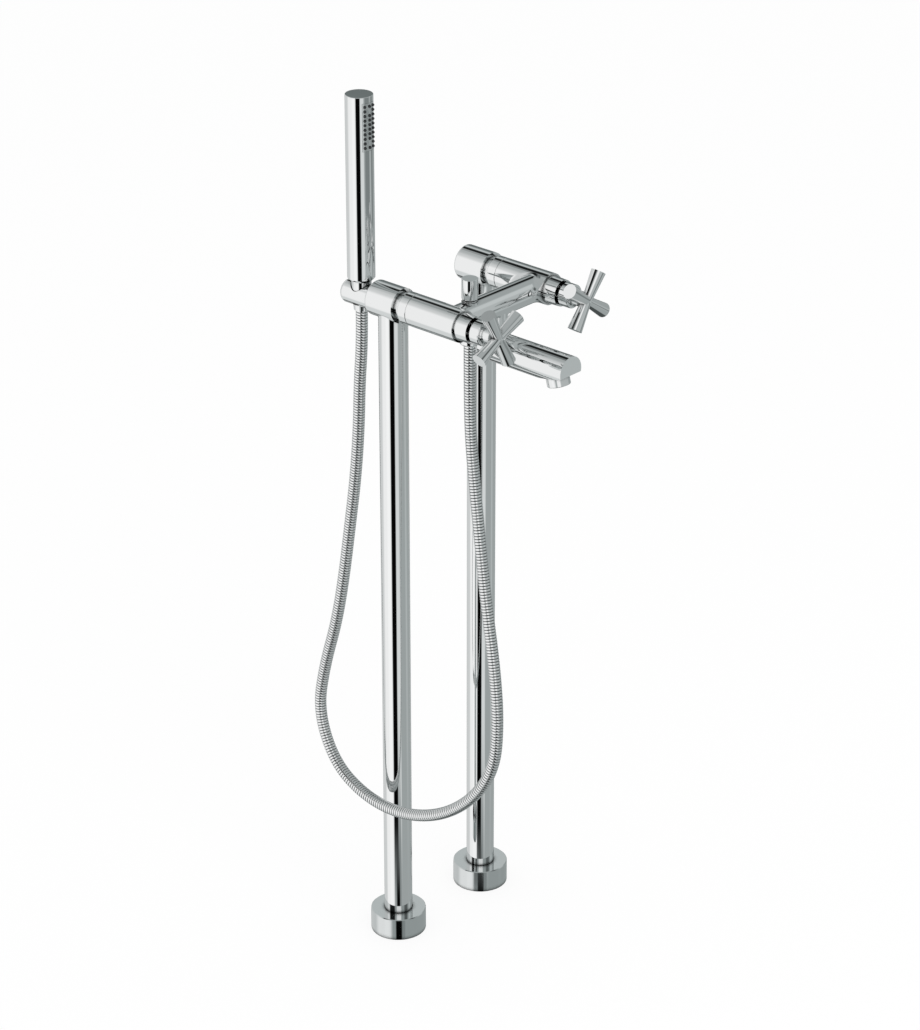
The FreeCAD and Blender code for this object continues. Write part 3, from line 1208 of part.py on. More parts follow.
# The hose hangs from the shower outlet, swings forwards and down, passes under and
# outside the hot standpipe, and rises behind it to the hand shower. The points are
# drawn for this place of the hot standpipe and this height of the arms.
HOSE_DRAWN_X = -75.0
HOSE_DRAWN_Z = 825.0
HOSE_POINTS = (
    (-43.5, -88.0, None),
    (-43.5, -88.0, 738.0),
    (-48.5, -94.0, 679.0),
    (-57.0, -109.0, 617.0),
    (-67.5, -127.5, 551.0),
    (-77.5, -146.0, 486.0),
    (-87.5, -166.5, 424.0),
    (-97.0, -181.0, 363.0),
    (-104.5, -182.5, 304.0),
    (-110.5, -154.0, 254.0),
    (-113.5, -105.0, 214.0),
    (-114.5, -44.0, 192.0),
    (-112.5, 18.0, 192.5),
    (-109.0, 72.0, 217.0),
    (-102.0, 105.0, 274.0),
    (-95.5, 99.0, 335.0),
    (-90.5, 82.5, 398.0),
    (-86.0, 73.5, 459.0),
    (-80.5, 68.0, 524.0),
    (-77.5, 60.0, 591.0),
    (-75.2, 56.0, 655.0),
    (-75.0, 54.0, 712.0),
    (-75.0, 49.0, 765.0),
    (-75.0, 49.0, None),
)


def hose_route():
    """The route's points: its two ends follow the outlet and the hand shower."""
    shift = Vector(side_x("hot").value - HOSE_DRAWN_X, 0, AXIS_Z.value - HOSE_DRAWN_Z)
    points = [Vector(x, y, z or 0) + shift for x, y, z in HOSE_POINTS]
    for index in (0, 1):
        points[index].x, points[index].y = DIVERTER_X.value, BAR_Y.value
    for index in (-1, -2):
        points[index].x, points[index].y = HANDSET_X.value, HANDSET_Y.value
    points[0].z = HOSE_START_Z.value
    points[-1].z = HOSE_END_Z.value
    return points


def hose_path(points):
    """Straight runs joined by tangent arcs, with each arc as large as its runs allow."""
    edges = []
    radii = []
    start = points[0]
    for before, corner, after in zip(points, points[1:], points[2:]):
        back, ahead = before - corner, after - corner
        reach = 0.45 * min(back.Length, ahead.Length)
        half_turn = (math.pi - back.getAngle(ahead)) / 2
        first = corner + back.normalize() * reach
        last = corner + ahead.normalize() * reach
        radius = reach / math.tan(half_turn)
        bisector = (back + ahead).normalize()
        middle = corner + bisector * (radius / math.cos(half_turn) - radius)
        edges.append(Part.LineSegment(start, first).toShape())
        edges.append(Part.Arc(first, middle, last).toShape())
        radii.append(radius)
        start = last
    edges.append(Part.LineSegment(start, points[-1]).toShape())
    return Part.Wire(edges), radii


def point_along(edges, distance):
    """Position and direction at that distance along the path."""
    for edge in edges:
        if distance <= edge.Length or edge is edges[-1]:
            parameter = edge.getParameterByLength(min(distance, edge.Length))
            return edge.valueAt(parameter), edge.tangentAt(parameter)
        distance -= edge.Length
    return None


def ring_at(edges, distance, radius, steady):
    """A circle square to the path there, its X axis kept near the steady direction."""
    centre, along = point_along(edges, distance)
    across = (steady - along * steady.dot(along)).normalize()
    square = Rotation(across, along.cross(across), along, "ZXY")
    circle = Part.Circle()
    circle.Radius = radius
    edge = circle.toShape()
    edge.Placement = Placement(centre, square)
    return Part.Wire([edge])


def shower_hose():
    """The ribbed metal hose: rings that rise and fall along the route, round an open bore."""
    route = hose_route()
    path, radii = hose_path(route)
    edges = path.Edges
    length = path.Length
    steady = Vector(1, 0, 0)
    peak = HOSE_R.value
    valley = peak - size("rib_depth").value
    bore = size("hose_bore").value / 2
    plain_end = size("hose_diameter").value
    pitch = (length - 2 * plain_end) / RIB_COUNT
    stations = [(0.0, valley)]
    for rib in range(RIB_COUNT):
        foot = plain_end + rib * pitch
        stations += [(foot + pitch * share, radius) for share, radius in
                     ((0.08, valley), (0.24, peak), (0.76, peak), (0.92, valley))]
    stations.append((length, valley))
    rings = [ring_at(edges, distance, radius, steady) for distance, radius in stations]
    outer = Part.makeLoft(rings, True, True)
    bore_stations = stations[::4] + [stations[-1]]
    bore_rings = [ring_at(edges, distance, bore, steady) for distance, _ in bore_stations]
    inner = Part.makeLoft(bore_rings, True, True)
    hose = doc.addObject("Part::Feature", "hose")
    hose.Shape = outer.cut(inner)
    hose.Placement = Placement()
    print("hose length", round(length, 1), "mm; bend radii", [round(r) for r in radii])
    mean = (peak ** 2 + valley ** 2 + peak * valley) / 3
    section = math.pi * (0.52 * peak ** 2 + 0.32 * mean + 0.16 * valley ** 2 - bore ** 2)
    print("hose volume", round(hose.Shape.Volume), "mm3; section times length", round(section * length))
    return keep(hose, "shower_hose")


hose_ends()
shower_hose()

# ------------------------------------------------------------- checks and export

doc.recompute()
for thing in doc.Objects:
    if {"Invalid", "Error"} & set(thing.State):
        raise RuntimeError(f"{thing.Name} ({thing.Label}) failed: {thing.State}")
os.makedirs("parts", exist_ok=True)
for node in nodes:
    if node.Shape.isNull() or not node.Shape.isValid():
        raise RuntimeError(f"{node.Label} has no valid shape")
for node in nodes:
    node.Shape.exportStep(f"parts/{node.Label}.step")
print(len(nodes), "nodes written")
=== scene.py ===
"""Floor standing bath filler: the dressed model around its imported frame.

Everything is in metres in the frame's own axes: +Z up, -Y towards the bath, the
origin on the floor midway between the two standpipes.
"""
from __future__ import annotations

import json
import logging
import math
from dataclasses import dataclass, field
from enum import Enum

import bpy
import numpy as np
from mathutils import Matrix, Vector


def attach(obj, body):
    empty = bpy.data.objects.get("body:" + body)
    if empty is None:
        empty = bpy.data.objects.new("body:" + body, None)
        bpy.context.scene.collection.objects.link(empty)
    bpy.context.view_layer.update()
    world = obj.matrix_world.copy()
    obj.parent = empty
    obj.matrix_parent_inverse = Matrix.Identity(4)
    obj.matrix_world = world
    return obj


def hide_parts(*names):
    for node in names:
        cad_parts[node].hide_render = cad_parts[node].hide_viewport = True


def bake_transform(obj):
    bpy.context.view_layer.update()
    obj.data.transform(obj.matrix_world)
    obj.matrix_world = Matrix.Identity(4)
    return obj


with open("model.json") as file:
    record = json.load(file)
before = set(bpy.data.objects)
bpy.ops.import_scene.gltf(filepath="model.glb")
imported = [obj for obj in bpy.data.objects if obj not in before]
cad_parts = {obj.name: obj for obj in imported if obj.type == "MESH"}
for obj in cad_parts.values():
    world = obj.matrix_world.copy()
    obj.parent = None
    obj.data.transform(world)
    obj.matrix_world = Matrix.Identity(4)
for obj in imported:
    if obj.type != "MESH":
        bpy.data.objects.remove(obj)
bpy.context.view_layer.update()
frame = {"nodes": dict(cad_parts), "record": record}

log = logging.getLogger("bath_filler")

MM = 0.001

Point = tuple[float, float, float]
Face = tuple[int, ...]


class Body(Enum):
    """The bodies of the frame that the scene's own pieces ride on."""

    FILLER = "filler"
    HOSE_END = "hose_end"
    HANDSET = "handset"


# ------------------------------------------------------------------ small tools


def mm(*values: float) -> tuple[float, ...]:
    """Millimetres as metres."""
    return tuple(value * MM for value in values)


def linear(colour: str, alpha: float = 1.0) -> tuple[float, float, float, float]:
    """Turn an sRGB hex colour into linear RGBA.

    Args:
        colour: The colour as "#rrggbb".
        alpha: The alpha to add.

    Returns:
        Four linear channels.
    """
    channels = [int(colour[i:i + 2], 16) / 255 for i in (1, 3, 5)]
    red, green, blue = [
        c / 12.92 if c <= 0.04045 else ((c + 0.055) / 1.055) ** 2.4 for c in channels
    ]
    return red, green, blue, alpha


def add_node(
    tree: bpy.types.NodeTree,
    kind: str,
    inputs: dict[str | int, object] | None = None,
    **settings: object,
) -> bpy.types.Node:
    """Add one shader node with its settings, values and links.

    Args:
        tree: The node tree to add to.
        kind: The node's type name, without its "ShaderNode" prefix.
        inputs: Socket name or number to a plain value, or to an output socket.
        **settings: The node's own properties.

    Returns:
        The new node.
    """
    node = tree.nodes.new("ShaderNode" + kind)
    for name, value in settings.items():
        setattr(node, name, value)
    for socket, value in (inputs or {}).items():
        if isinstance(value, bpy.types.NodeSocket):
            tree.links.new(value, node.inputs[socket])
        else:
            node.inputs[socket].default_value = value
    return node


def mix_colours(
    tree: bpy.types.NodeTree,
    share: bpy.types.NodeSocket,
    none: object,
    full: object,
) -> bpy.types.NodeSocket:
    """Mix two colours by a share.

    Args:
        tree: The node tree to add to.
        share: The socket that holds the share, 0 to 1.
        none: The colour or colour socket at share 0.
        full: The colour or colour socket at share 1.

    Returns:
        The socket that holds the mixed colour.
    """
    # the node's colour sockets have no names of their own: 6 and 7 in, 2 out
    mix = add_node(tree, "Mix", {0: share, 6: none, 7: full}, data_type="RGBA")
    return mix.outputs[2]


def noise(
    tree: bpy.types.NodeTree,
    place: bpy.types.NodeSocket,
    size_mm: float,
    detail: float,
) -> bpy.types.NodeSocket:
    """Noise with spots of about one size.

    Args:
        tree: The node tree to add to.
        place: The socket that holds the surface point in metres.
        size_mm: The size of the spots.
        detail: How many finer layers it has.

    Returns:
        The socket that holds the noise, 0 to 1.
    """
    node = add_node(tree, "TexNoise", {
        "Vector": place, "Scale": 1 / (size_mm * MM), "Detail": detail,
    })
    return node.outputs["Fac"]


def new_object(name: str, mesh: bpy.types.Mesh) -> bpy.types.Object:
    """Link a mesh into the scene.

    Args:
        name: The name that the mesh and its object get.
        mesh: The mesh.

    Returns:
        The new object.
    """
    mesh.name = name
    obj = bpy.data.objects.new(name, mesh)
    bpy.context.scene.collection.objects.link(obj)
    return obj


# --------------------------------------------------------------------- finishes


@dataclass(frozen=True)
class Finish:
    """What every finish has: a name for its real material, a colour and a gloss."""

    name: str
    colour: str
    roughness: float

    def start(self) -> tuple[bpy.types.Material, bpy.types.NodeTree, bpy.types.Node]:
        """Make the material with its shader and nothing linked to it.

        Returns:
            The material, its node tree and its Principled shader.
        """
        material = bpy.data.materials.new(self.name)
        material.use_nodes = True
        tree = material.node_tree
        shader = tree.nodes["Principled BSDF"]
        shader.inputs["Base Color"].default_value = linear(self.colour)
        shader.inputs["Roughness"].default_value = self.roughness
        return material, tree, shader

    @staticmethod
    def position(tree: bpy.types.NodeTree) -> bpy.types.NodeSocket:
        """The surface point in metres, in the object's own axes."""
        return add_node(tree, "TexCoord").outputs["Object"]

    def build(self) -> bpy.types.Material:
        """Make the material."""
        return self.start()[0]


@dataclass(frozen=True)
class ChromePlate(Finish):
    """Chromium electroplate over buffed brass: a cool mirror with a trace of the buffing."""

    buff_mm: float = 26.0
    ripple: float = 0.012
    haze_mm: float = 7.0
    haze_range: tuple[float, float] = (0.35, 0.75)
    haze_gain: float = 1.8
    # painted shade in joints and crevices: how far ambient occlusion looks, the openness range it darkens
    # over, its samples, and the near-black it darkens to
    shade_reach_mm: float = 8.0
    shade_open_range: tuple[float, float] = (0.42, 0.82)
    shade_samples: int = 6
    painted_shade_colour: str = "#0C0D0D"

    def build(self) -> bpy.types.Material:
        """Make the material: slow ripples, faint haze, and painted shade that darkens it in the joints
        and crevices that ambient occlusion finds closed in.
        """
        material, tree, shader = self.start()
        shader.inputs["Metallic"].default_value = 1.0
        place = self.position(tree)
        openness = add_node(
            tree, "AmbientOcclusion", {"Distance": self.shade_reach_mm * MM}, samples=self.shade_samples)
        open_from, open_to = self.shade_open_range
        shade_share = add_node(tree, "MapRange", {
            "Value": openness.outputs["AO"], "From Min": open_from, "From Max": open_to,
        }, interpolation_type="SMOOTHSTEP")
        # painted shade: where ambient occlusion finds the surface closed in, the colour darkens towards a
        # near-black
        tint = mix_colours(
            tree, shade_share.outputs["Result"], linear(self.painted_shade_colour), linear(self.colour))
        ripples = noise(tree, place, self.buff_mm, detail=1.0)
        bump = add_node(tree, "Bump", {
            "Height": ripples, "Strength": self.ripple, "Distance": MM,
        })
        haze_from, haze_to = self.haze_range
        gloss = add_node(tree, "MapRange", {
            "Value": noise(tree, place, self.haze_mm, detail=3.0),
            "From Min": haze_from, "From Max": haze_to,
            "To Min": self.roughness, "To Max": self.roughness * self.haze_gain,
        })
        tree.links.new(tint, shader.inputs["Base Color"])
        tree.links.new(bump.outputs["Normal"], shader.inputs["Normal"])
        tree.links.new(gloss.outputs["Result"], shader.inputs["Roughness"])
        return material


@dataclass(frozen=True)
class WoundStrip(Finish):
    """Stainless strip wound into a hose: bright crowns, dull where the turns lock, and painted shade
    darkening the grooves.
    """

    # painted shade in the grooves: the colour the strip darkens to there
    groove_shade_colour: str = "#2A2D2E"
    groove_range: tuple[float, float] = (0.3, 0.92)
    groove_gain: float = 2.4

    def build(self) -> bpy.types.Material:
        """Make the material, with painted shade darkening it wherever the strip lies low."""
        material, tree, shader = self.start()
        shader.inputs["Metallic"].default_value = 1.0
        height = add_node(tree, "Attribute", attribute_name="rib_height")
        low, high = self.groove_range
        crown = add_node(tree, "MapRange", {
            "Value": height.outputs["Fac"], "From Min": low, "From Max": high,
        }, interpolation_type="SMOOTHSTEP").outputs["Result"]
        # painted shade: the colour darkens towards the groove colour where the strip lies low
        tint = mix_colours(tree, crown, linear(self.groove_shade_colour), linear(self.colour))
        gloss = add_node(tree, "MapRange", {
            "Value": crown,
            "To Min": self.roughness * self.groove_gain, "To Max": self.roughness,
        })
        tree.links.new(tint, shader.inputs["Base Color"])
        tree.links.new(gloss.outputs["Result"], shader.inputs["Roughness"])
        return material


@dataclass(frozen=True)
class TurnedMetal(Finish):
    """Bare metal off the lathe: fine rings left by the tool, and a satin gloss."""

    tool_mm: float = 0.4
    bands_per_unit: float = 20.0
    mark_strength: float = 0.12
    mark_mm: float = 0.05
    stain_mm: float = 11.111
    dark_colour: str = "#6B5423"

    def build(self) -> bpy.types.Material:
        """Make the material from tool marks and slow stains."""
        material, tree, shader = self.start()
        shader.inputs["Metallic"].default_value = 1.0
        place = self.position(tree)
        marks = add_node(tree, "TexWave", {
            "Vector": place, "Scale": 1 / (self.tool_mm * MM) / self.bands_per_unit,
            "Distortion": 1.5, "Detail": 2.0,
        }, bands_direction="Z")
        bump = add_node(tree, "Bump", {
            "Height": marks.outputs["Fac"], "Strength": self.mark_strength,
            "Distance": self.mark_mm * MM,
        })
        stain = noise(tree, place, self.stain_mm, detail=5.0)
        tint = mix_colours(tree, stain, linear(self.colour), linear(self.dark_colour))
        tree.links.new(tint, shader.inputs["Base Color"])
        tree.links.new(bump.outputs["Normal"], shader.inputs["Normal"])
        return material


@dataclass(frozen=True)
class Moulded(Finish):
    """Moulded rubber, silicone or plastic: a fine spark-eroded grain, slightly uneven colour."""

    grain_mm: float = 0.5
    grain_strength: float = 0.15
    grain_depth_mm: float = 0.1
    shade_mm: float = 16.667
    second_colour: str = "#101010"

    def build(self) -> bpy.types.Material:
        """Make the material from a grain and a slow shift of shade."""
        material, tree, shader = self.start()
        place = self.position(tree)
        bump = add_node(tree, "Bump", {
            "Height": noise(tree, place, self.grain_mm, detail=3.0),
            "Strength": self.grain_strength, "Distance": self.grain_depth_mm * MM,
        })
        shade = noise(tree, place, self.shade_mm, detail=4.0)
        tint = mix_colours(tree, shade, linear(self.colour), linear(self.second_colour))
        tree.links.new(tint, shader.inputs["Base Color"])
        tree.links.new(bump.outputs["Normal"], shader.inputs["Normal"])
        return material


FINISHES: dict[str, Finish] = {
    # the bright plate of turned pieces: sharp, almost even reflections
    "chromed_brass": ChromePlate("chromed turned brass", "#F1F2F2", 0.018),
    # a casting is buffed by hand: its reflections waver, and its fillets get painted shade from further
    # off
    "chromed_casting": ChromePlate(
        "chromed polished casting", "#F0F1F1", 0.02, buff_mm=32.0, ripple=0.03, shade_reach_mm=12.0),
    # machined, plated but not buffed: a softer grey mirror in the valve's gap
    "chromed_headwork": ChromePlate("chromed machined headwork", "#DCDEDE", 0.06, ripple=0.01),
    # small hand-buffed faces: short waves in the reflections
    "chromed_handle": ChromePlate("chromed cast handle", "#F0F1F1", 0.02, buff_mm=18.0, ripple=0.02),
    # drawn tube: long even streaks of light and dark down the legs
    "chromed_tube": ChromePlate("chromed drawn tube", "#F1F2F2", 0.015, buff_mm=60.0, ripple=0.02),
    # pressed sheet takes a thinner, greyer plate
    "chromed_pressing": ChromePlate(
        "chromed pressed cover", "#DDE0E0", 0.03, buff_mm=30.0, ripple=0.02),
    # the stick's shell: the clearest mirror of all
    "chromed_handset": ChromePlate(
        "chromed hand shower shell", "#F1F2F2", 0.015, buff_mm=40.0, ripple=0.015),
    # satin plate: the spray face reads as an even pale grey
    "chromed_plate": ChromePlate("satin chromed spray plate", "#E6E8E8", 0.22, ripple=0.01),
    # bright crowns and painted shade in the locks: the hose's fine rings
    "hose_strip": WoundStrip("wound stainless strip", "#F2F3F3", 0.06),
    # yellow satin metal with tool rings, inside
    "raw_brass": TurnedMetal("turned brass", "#C9A24F", 0.28),
    # the red of the risers inside the legs
    "copper": TurnedMetal("drawn copper", "#B8714C", 0.3, dark_colour="#6A3A24"),
    # neutral satin grey of screws, rings and clips
    "steel": TurnedMetal("turned stainless steel", "#A9AAAD", 0.3, dark_colour="#77787B"),
    # ivory and nearly polished: the valve's discs
    "ceramic": Moulded("lapped alumina", "#EEEBE2", 0.12, grain_mm=0.2, grain_strength=0.03,
                       second_colour="#E2DED2"),
    # dull black of seals and washers
    "black_rubber": Moulded("moulded nitrile rubber", "#17171A", 0.55, second_colour="#0E0E10"),
    # dark soft dots on the spray face
    "grey_silicone": Moulded("moulded silicone", "#2B2D2F", 0.38, second_colour="#1E2022"),
    # black with a slight sheen: cartridges and liner
    "black_plastic": Moulded("moulded acetal", "#1A1A1C", 0.35, second_colour="#121214"),
    # milky white of the water tube and the strainers
    "white_plastic": Moulded("moulded polypropylene", "#E3E2DD", 0.38, second_colour="#D6D4CD"),
}


@dataclass
class FinishShop:
    """Makes each finish once and dresses the frame's nodes with them."""

    made: dict[str, bpy.types.Material] = field(default_factory=dict)

    def get(self, slot: str) -> bpy.types.Material:
        """The material for one of the record's slots."""
        if slot not in self.made:
            self.made[slot] = FINISHES[slot].build()
        return self.made[slot]

    def dress(self, obj: bpy.types.Object, slot: str) -> None:
        """Give an object the slot's material alone."""
        obj.data.materials.clear()
        obj.data.materials.append(self.get(slot))

    def dress_frame(self) -> None:
        """Dress every node of the frame in the finish that the record names for it."""
        for part in frame["record"]["subparts"]:
            self.dress(frame["nodes"][part["node"]], part["material_slot"])
            log.info("dressed %s in %s", part["node"], part["material_slot"])


# ----------------------------------------------------------------- shower hose


# control points of the hanging route, from the shower outlet to the holder
HOSE_POINTS_MM: tuple[Point, ...] = (
    (-43.5, -88.0, 792.0),
    (-43.5, -88.0, 738.0),
    (-48.5, -94.0, 679.0),
    (-57.0, -109.0, 617.0),
    (-67.5, -127.5, 551.0),
    (-77.5, -146.0, 486.0),
    (-87.5, -166.5, 424.0),
    (-97.0, -181.0, 363.0),
    (-104.5, -182.5, 304.0),
    (-110.5, -154.0, 254.0),
    (-113.5, -105.0, 214.0),
    (-114.5, -44.0, 192.0),
    (-112.5, 18.0, 192.5),
    (-109.0, 72.0, 217.0),
    (-102.0, 105.0, 274.0),
    (-95.5, 99.0, 335.0),
    (-90.5, 82.5, 398.0),
    (-86.0, 73.5, 459.0),
    (-80.5, 68.0, 524.0),
    (-77.5, 60.0, 591.0),
    (-75.2, 56.0, 655.0),
    (-75.0, 54.0, 712.0),
    (-75.0, 49.0, 765.0),
    (-75.0, 49.0, 808.0),
)


@dataclass
class ShowerHose:
    """The metal hose: interlocked turns of strip that follow the hanging route."""

    diameter_mm: float = 14.0
    groove_depth_mm: float = 0.8
    pitch_mm: float = 3.4
    length_m: float = 1.40
    sides: int = 28
    curve_steps: int = 24
    # share of the turn, height of the strip there from groove to crown
    turn_shape: tuple[tuple[float, float], ...] = (
        (0.0, 0.0), (0.03, 0.0), (0.10, 0.6), (0.16, 0.9), (0.25, 1.0),
        (0.75, 1.0), (0.84, 0.9), (0.90, 0.6), (0.97, 0.0),
    )

    def centre_line(self) -> np.ndarray:
        """The smooth line of the route, read from a NURBS spline through its control points.

        Returns:
            The line's points in metres, one row each.
        """
        curve = bpy.data.curves.new("hose_line", "CURVE")
        curve.dimensions = "3D"
        curve.resolution_u = self.curve_steps
        spline = curve.splines.new("NURBS")
        spline.points.add(len(HOSE_POINTS_MM) - 1)
        for point, place in zip(spline.points, HOSE_POINTS_MM):
            point.co = (*mm(*place), 1.0)
        spline.order_u = 3
        spline.use_endpoint_u = True
        carrier = bpy.data.objects.new("hose_line", curve)
        bpy.context.scene.collection.objects.link(carrier)
        bpy.context.view_layer.update()
        settled = carrier.evaluated_get(bpy.context.evaluated_depsgraph_get())
        mesh = bpy.data.meshes.new_from_object(settled)
        line = np.array([vertex.co for vertex in mesh.vertices])
        bpy.data.objects.remove(carrier)
        bpy.data.curves.remove(curve)
        bpy.data.meshes.remove(mesh)
        return line

    @staticmethod
    def frames(
        line: np.ndarray, distances: np.ndarray,
    ) -> tuple[np.ndarray, np.ndarray, np.ndarray]:
        """Places and two steady cross directions at distances along a line.

        Args:
            line: The line's points.
            distances: How far along each wanted place is.

        Returns:
            The places, and two unit directions square to the line at each.
        """
        steps = np.linalg.norm(np.diff(line, axis=0), axis=1)
        along = np.concatenate([[0.0], np.cumsum(steps)])
        places = np.stack([np.interp(distances, along, line[:, k]) for k in range(3)], axis=1)
        tangents = np.gradient(places, axis=0)
        tangents /= np.linalg.norm(tangents, axis=1, keepdims=True)
        steady = np.array([1.0, 0.0, 0.0])
        across = steady - tangents * (tangents @ steady)[:, None]
        across /= np.linalg.norm(across, axis=1, keepdims=True)
        return places, across, np.cross(tangents, across)

    def profile(self, total: float) -> tuple[np.ndarray, np.ndarray]:
        """The strip's height along the hose.

        Args:
            total: The hose's length in metres.

        Returns:
            Distances along the hose in metres, and the heights there, 0 to 1.
        """
        turns = round(total / (self.pitch_mm * MM))
        pitch = total / turns
        distances = [(turn + share) * pitch for turn in range(turns) for share, _ in self.turn_shape]
        heights = [height for _ in range(turns) for _, height in self.turn_shape]
        log.info("hose: %.0f mm, %d turns of %.2f mm", total / MM, turns, pitch / MM)
        return np.array([*distances, total]), np.array([*heights, 0.0])

    def skin(self, line: np.ndarray) -> bpy.types.Mesh:
        """Sweep the turns along a line as one closed mesh.

        Args:
            line: The line's points in metres.

        Returns:
            The mesh, with the strip's height as the attribute "rib_height".
        """
        total = float(np.linalg.norm(np.diff(line, axis=0), axis=1).sum())
        distances, heights = self.profile(total)
        places, across, up = self.frames(line, distances)
        radii = (self.diameter_mm / 2 - self.groove_depth_mm * (1 - heights)) * MM
        angles = np.arange(self.sides) * 2 * math.pi / self.sides
        outward = (np.cos(angles)[None, :, None] * across[:, None, :]
                   + np.sin(angles)[None, :, None] * up[:, None, :])
        rings = places[:, None, :] + radii[:, None, None] * outward
        count, sides = len(distances), self.sides
        faces: list[Face] = []
        for i in range(count - 1):
            here, there = i * sides, (i + 1) * sides
            for j in range(sides):
                near = (j + 1) % sides
                faces.append((here + j, here + near, there + near, there + j))
        faces.append(tuple(reversed(range(sides))))
        faces.append(tuple(range((count - 1) * sides, count * sides)))
        mesh = bpy.data.meshes.new("hose")
        mesh.from_pydata(rings.reshape(-1, 3).tolist(), [], faces)
        attribute = mesh.attributes.new("rib_height", "FLOAT", "POINT")
        attribute.data.foreach_set("value", np.repeat(heights, sides).astype(np.float32))
        mesh.shade_smooth()
        return mesh

    def build(self, shop: FinishShop) -> bpy.types.Object:
        """Args:
            shop: Where its finish comes from.

        Returns:
            The hose.
        """
        line = self.centre_line()
        hose = new_object("shower_hose_strip", self.skin(line))
        shop.dress(hose, "hose_strip")
        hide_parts("shower_hose")
        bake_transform(hose)
        return hose


# ---------------------------------------------------------------- spray nozzles


@dataclass
class SprayNubs:
    """The hand shower's soft nozzles: tapered nubs on one pad behind the spray plate."""

    axis_mm: tuple[float, float] = (-75.0, 49.0)
    middle_mm: float = 1025.0
    pitch_mm: float = 5.3
    rows: int = 10
    angles: tuple[float, ...] = (-23.0, 0.0, 23.0)
    short_rows: tuple[int, ...] = (1, 8)
    pad_mm: tuple[float, float] = (10.9, 12.4)
    pad_half_angle: float = 40.0
    pad_half_height_mm: float = 26.0
    pad_steps: int = 16
    sides: int = 24
    # distance from the hand shower's axis, radius of the nub there
    profile_mm: tuple[tuple[float, float], ...] = (
        (12.0, 0.0), (12.0, 1.15), (15.9, 1.15), (16.05, 1.75), (16.35, 1.8), (16.7, 1.65),
        (17.2, 1.4), (17.6, 1.2), (17.85, 0.9), (17.96, 0.5), (18.0, 0.0),
    )

    def build(self, shop: FinishShop) -> bpy.types.Object:
        """Make the nubs and their pad as one moulding that rides on the hand shower.

        Args:
            shop: Where their finish comes from.

        Returns:
            The moulding.
        """
        vertices, faces = self.pad()
        for row in range(self.rows):
            height = self.middle_mm + self.pitch_mm * (row - (self.rows - 1) / 2)
            for angle in self.angles[::2] if row in self.short_rows else self.angles:
                self.add_nub(vertices, faces, math.radians(angle), height)
        mesh = bpy.data.meshes.new("spray_nubs")
        mesh.from_pydata([mm(*vertex) for vertex in vertices], [], faces)
        mesh.shade_smooth()
        nubs = new_object("spray_nubs", mesh)
        shop.dress(nubs, "grey_silicone")
        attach(nubs, Body.HANDSET.value)
        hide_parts("spray_nozzles")
        log.info("spray nubs: %d faces", len(mesh.polygons))
        return nubs

    def place(self, angle: float, reach: float, side: float, height: float) -> Point:
        """A point in millimetres on a nub's line.

        Args:
            angle: The line's turn from straight ahead, in radians.
            reach: Distance from the hand shower's axis along the line.
            side: Distance square to the line, on the level.
            height: Height above the floor.

        Returns:
            The point.
        """
        out, across = math.sin(angle), math.cos(angle)
        return (
            self.axis_mm[0] + reach * out + side * across,
            self.axis_mm[1] - reach * across + side * out,
            height,
        )

    def pad(self) -> tuple[list[Point], list[Face]]:
        """The curved pad that joins the nubs behind the plate.

        Returns:
            Its vertices in millimetres and its faces.
        """
        steps = self.pad_steps
        turns = [
            math.radians(self.pad_half_angle * (2 * step / steps - 1)) for step in range(steps + 1)
        ]
        inner, outer = self.pad_mm
        low, high = self.middle_mm - self.pad_half_height_mm, self.middle_mm + self.pad_half_height_mm
        corners = ((inner, low), (outer, low), (outer, high), (inner, high))
        vertices = [
            self.place(turn, reach, 0.0, height) for turn in turns for reach, height in corners
        ]
        faces: list[Face] = [(0, 1, 2, 3), tuple(4 * steps + k for k in (3, 2, 1, 0))]
        for step in range(steps):
            for k in range(4):
                here, there = 4 * step + k, 4 * step + (k + 1) % 4
                faces.append((here, here + 4, there + 4, there))
        return vertices, faces

    def add_nub(
        self, vertices: list[Point], faces: list[Face], angle: float, height: float,
    ) -> None:
        """Add one closed nub to the lists.

        Args:
            vertices: The vertices so far, in millimetres.
            faces: The faces so far.
            angle: The nub's turn from straight ahead, in radians.
            height: The nub's height above the floor.
        """
        first = len(vertices)
        vertices.append(self.place(angle, self.profile_mm[0][0], 0.0, height))
        rings = self.profile_mm[1:-1]
        for reach, radius in rings:
            for side in range(self.sides):
                turn = 2 * math.pi * side / self.sides
                aside, rise = radius * math.cos(turn), radius * math.sin(turn)
                vertices.append(self.place(angle, reach, aside, height + rise))
        tip = len(vertices)
        vertices.append(self.place(angle, self.profile_mm[-1][0], 0.0, height))
        last = first + 1 + (len(rings) - 1) * self.sides
        for side in range(self.sides):
            near = (side + 1) % self.sides
            faces.append((first, first + 1 + side, first + 1 + near))
            faces.append((tip, last + near, last + side))
            for ring in range(len(rings) - 1):
                here = first + 1 + ring * self.sides
                there = here + self.sides
                faces.append((here + side, there + side, there + near, here + near))


# ---------------------------------------------------------------------- studio


@dataclass(frozen=True)
class Card:
    """A soft-edged card or flag of the studio that the chrome mirrors, placed by direction.

    Angles are degrees. The azimuth counts from the camera's own side, rising to its right.
    """

    level: str
    azimuth: float
    half_width: float
    low: float
    high: float
    soft: float = 8.0
    soft_ends: float = 4.0


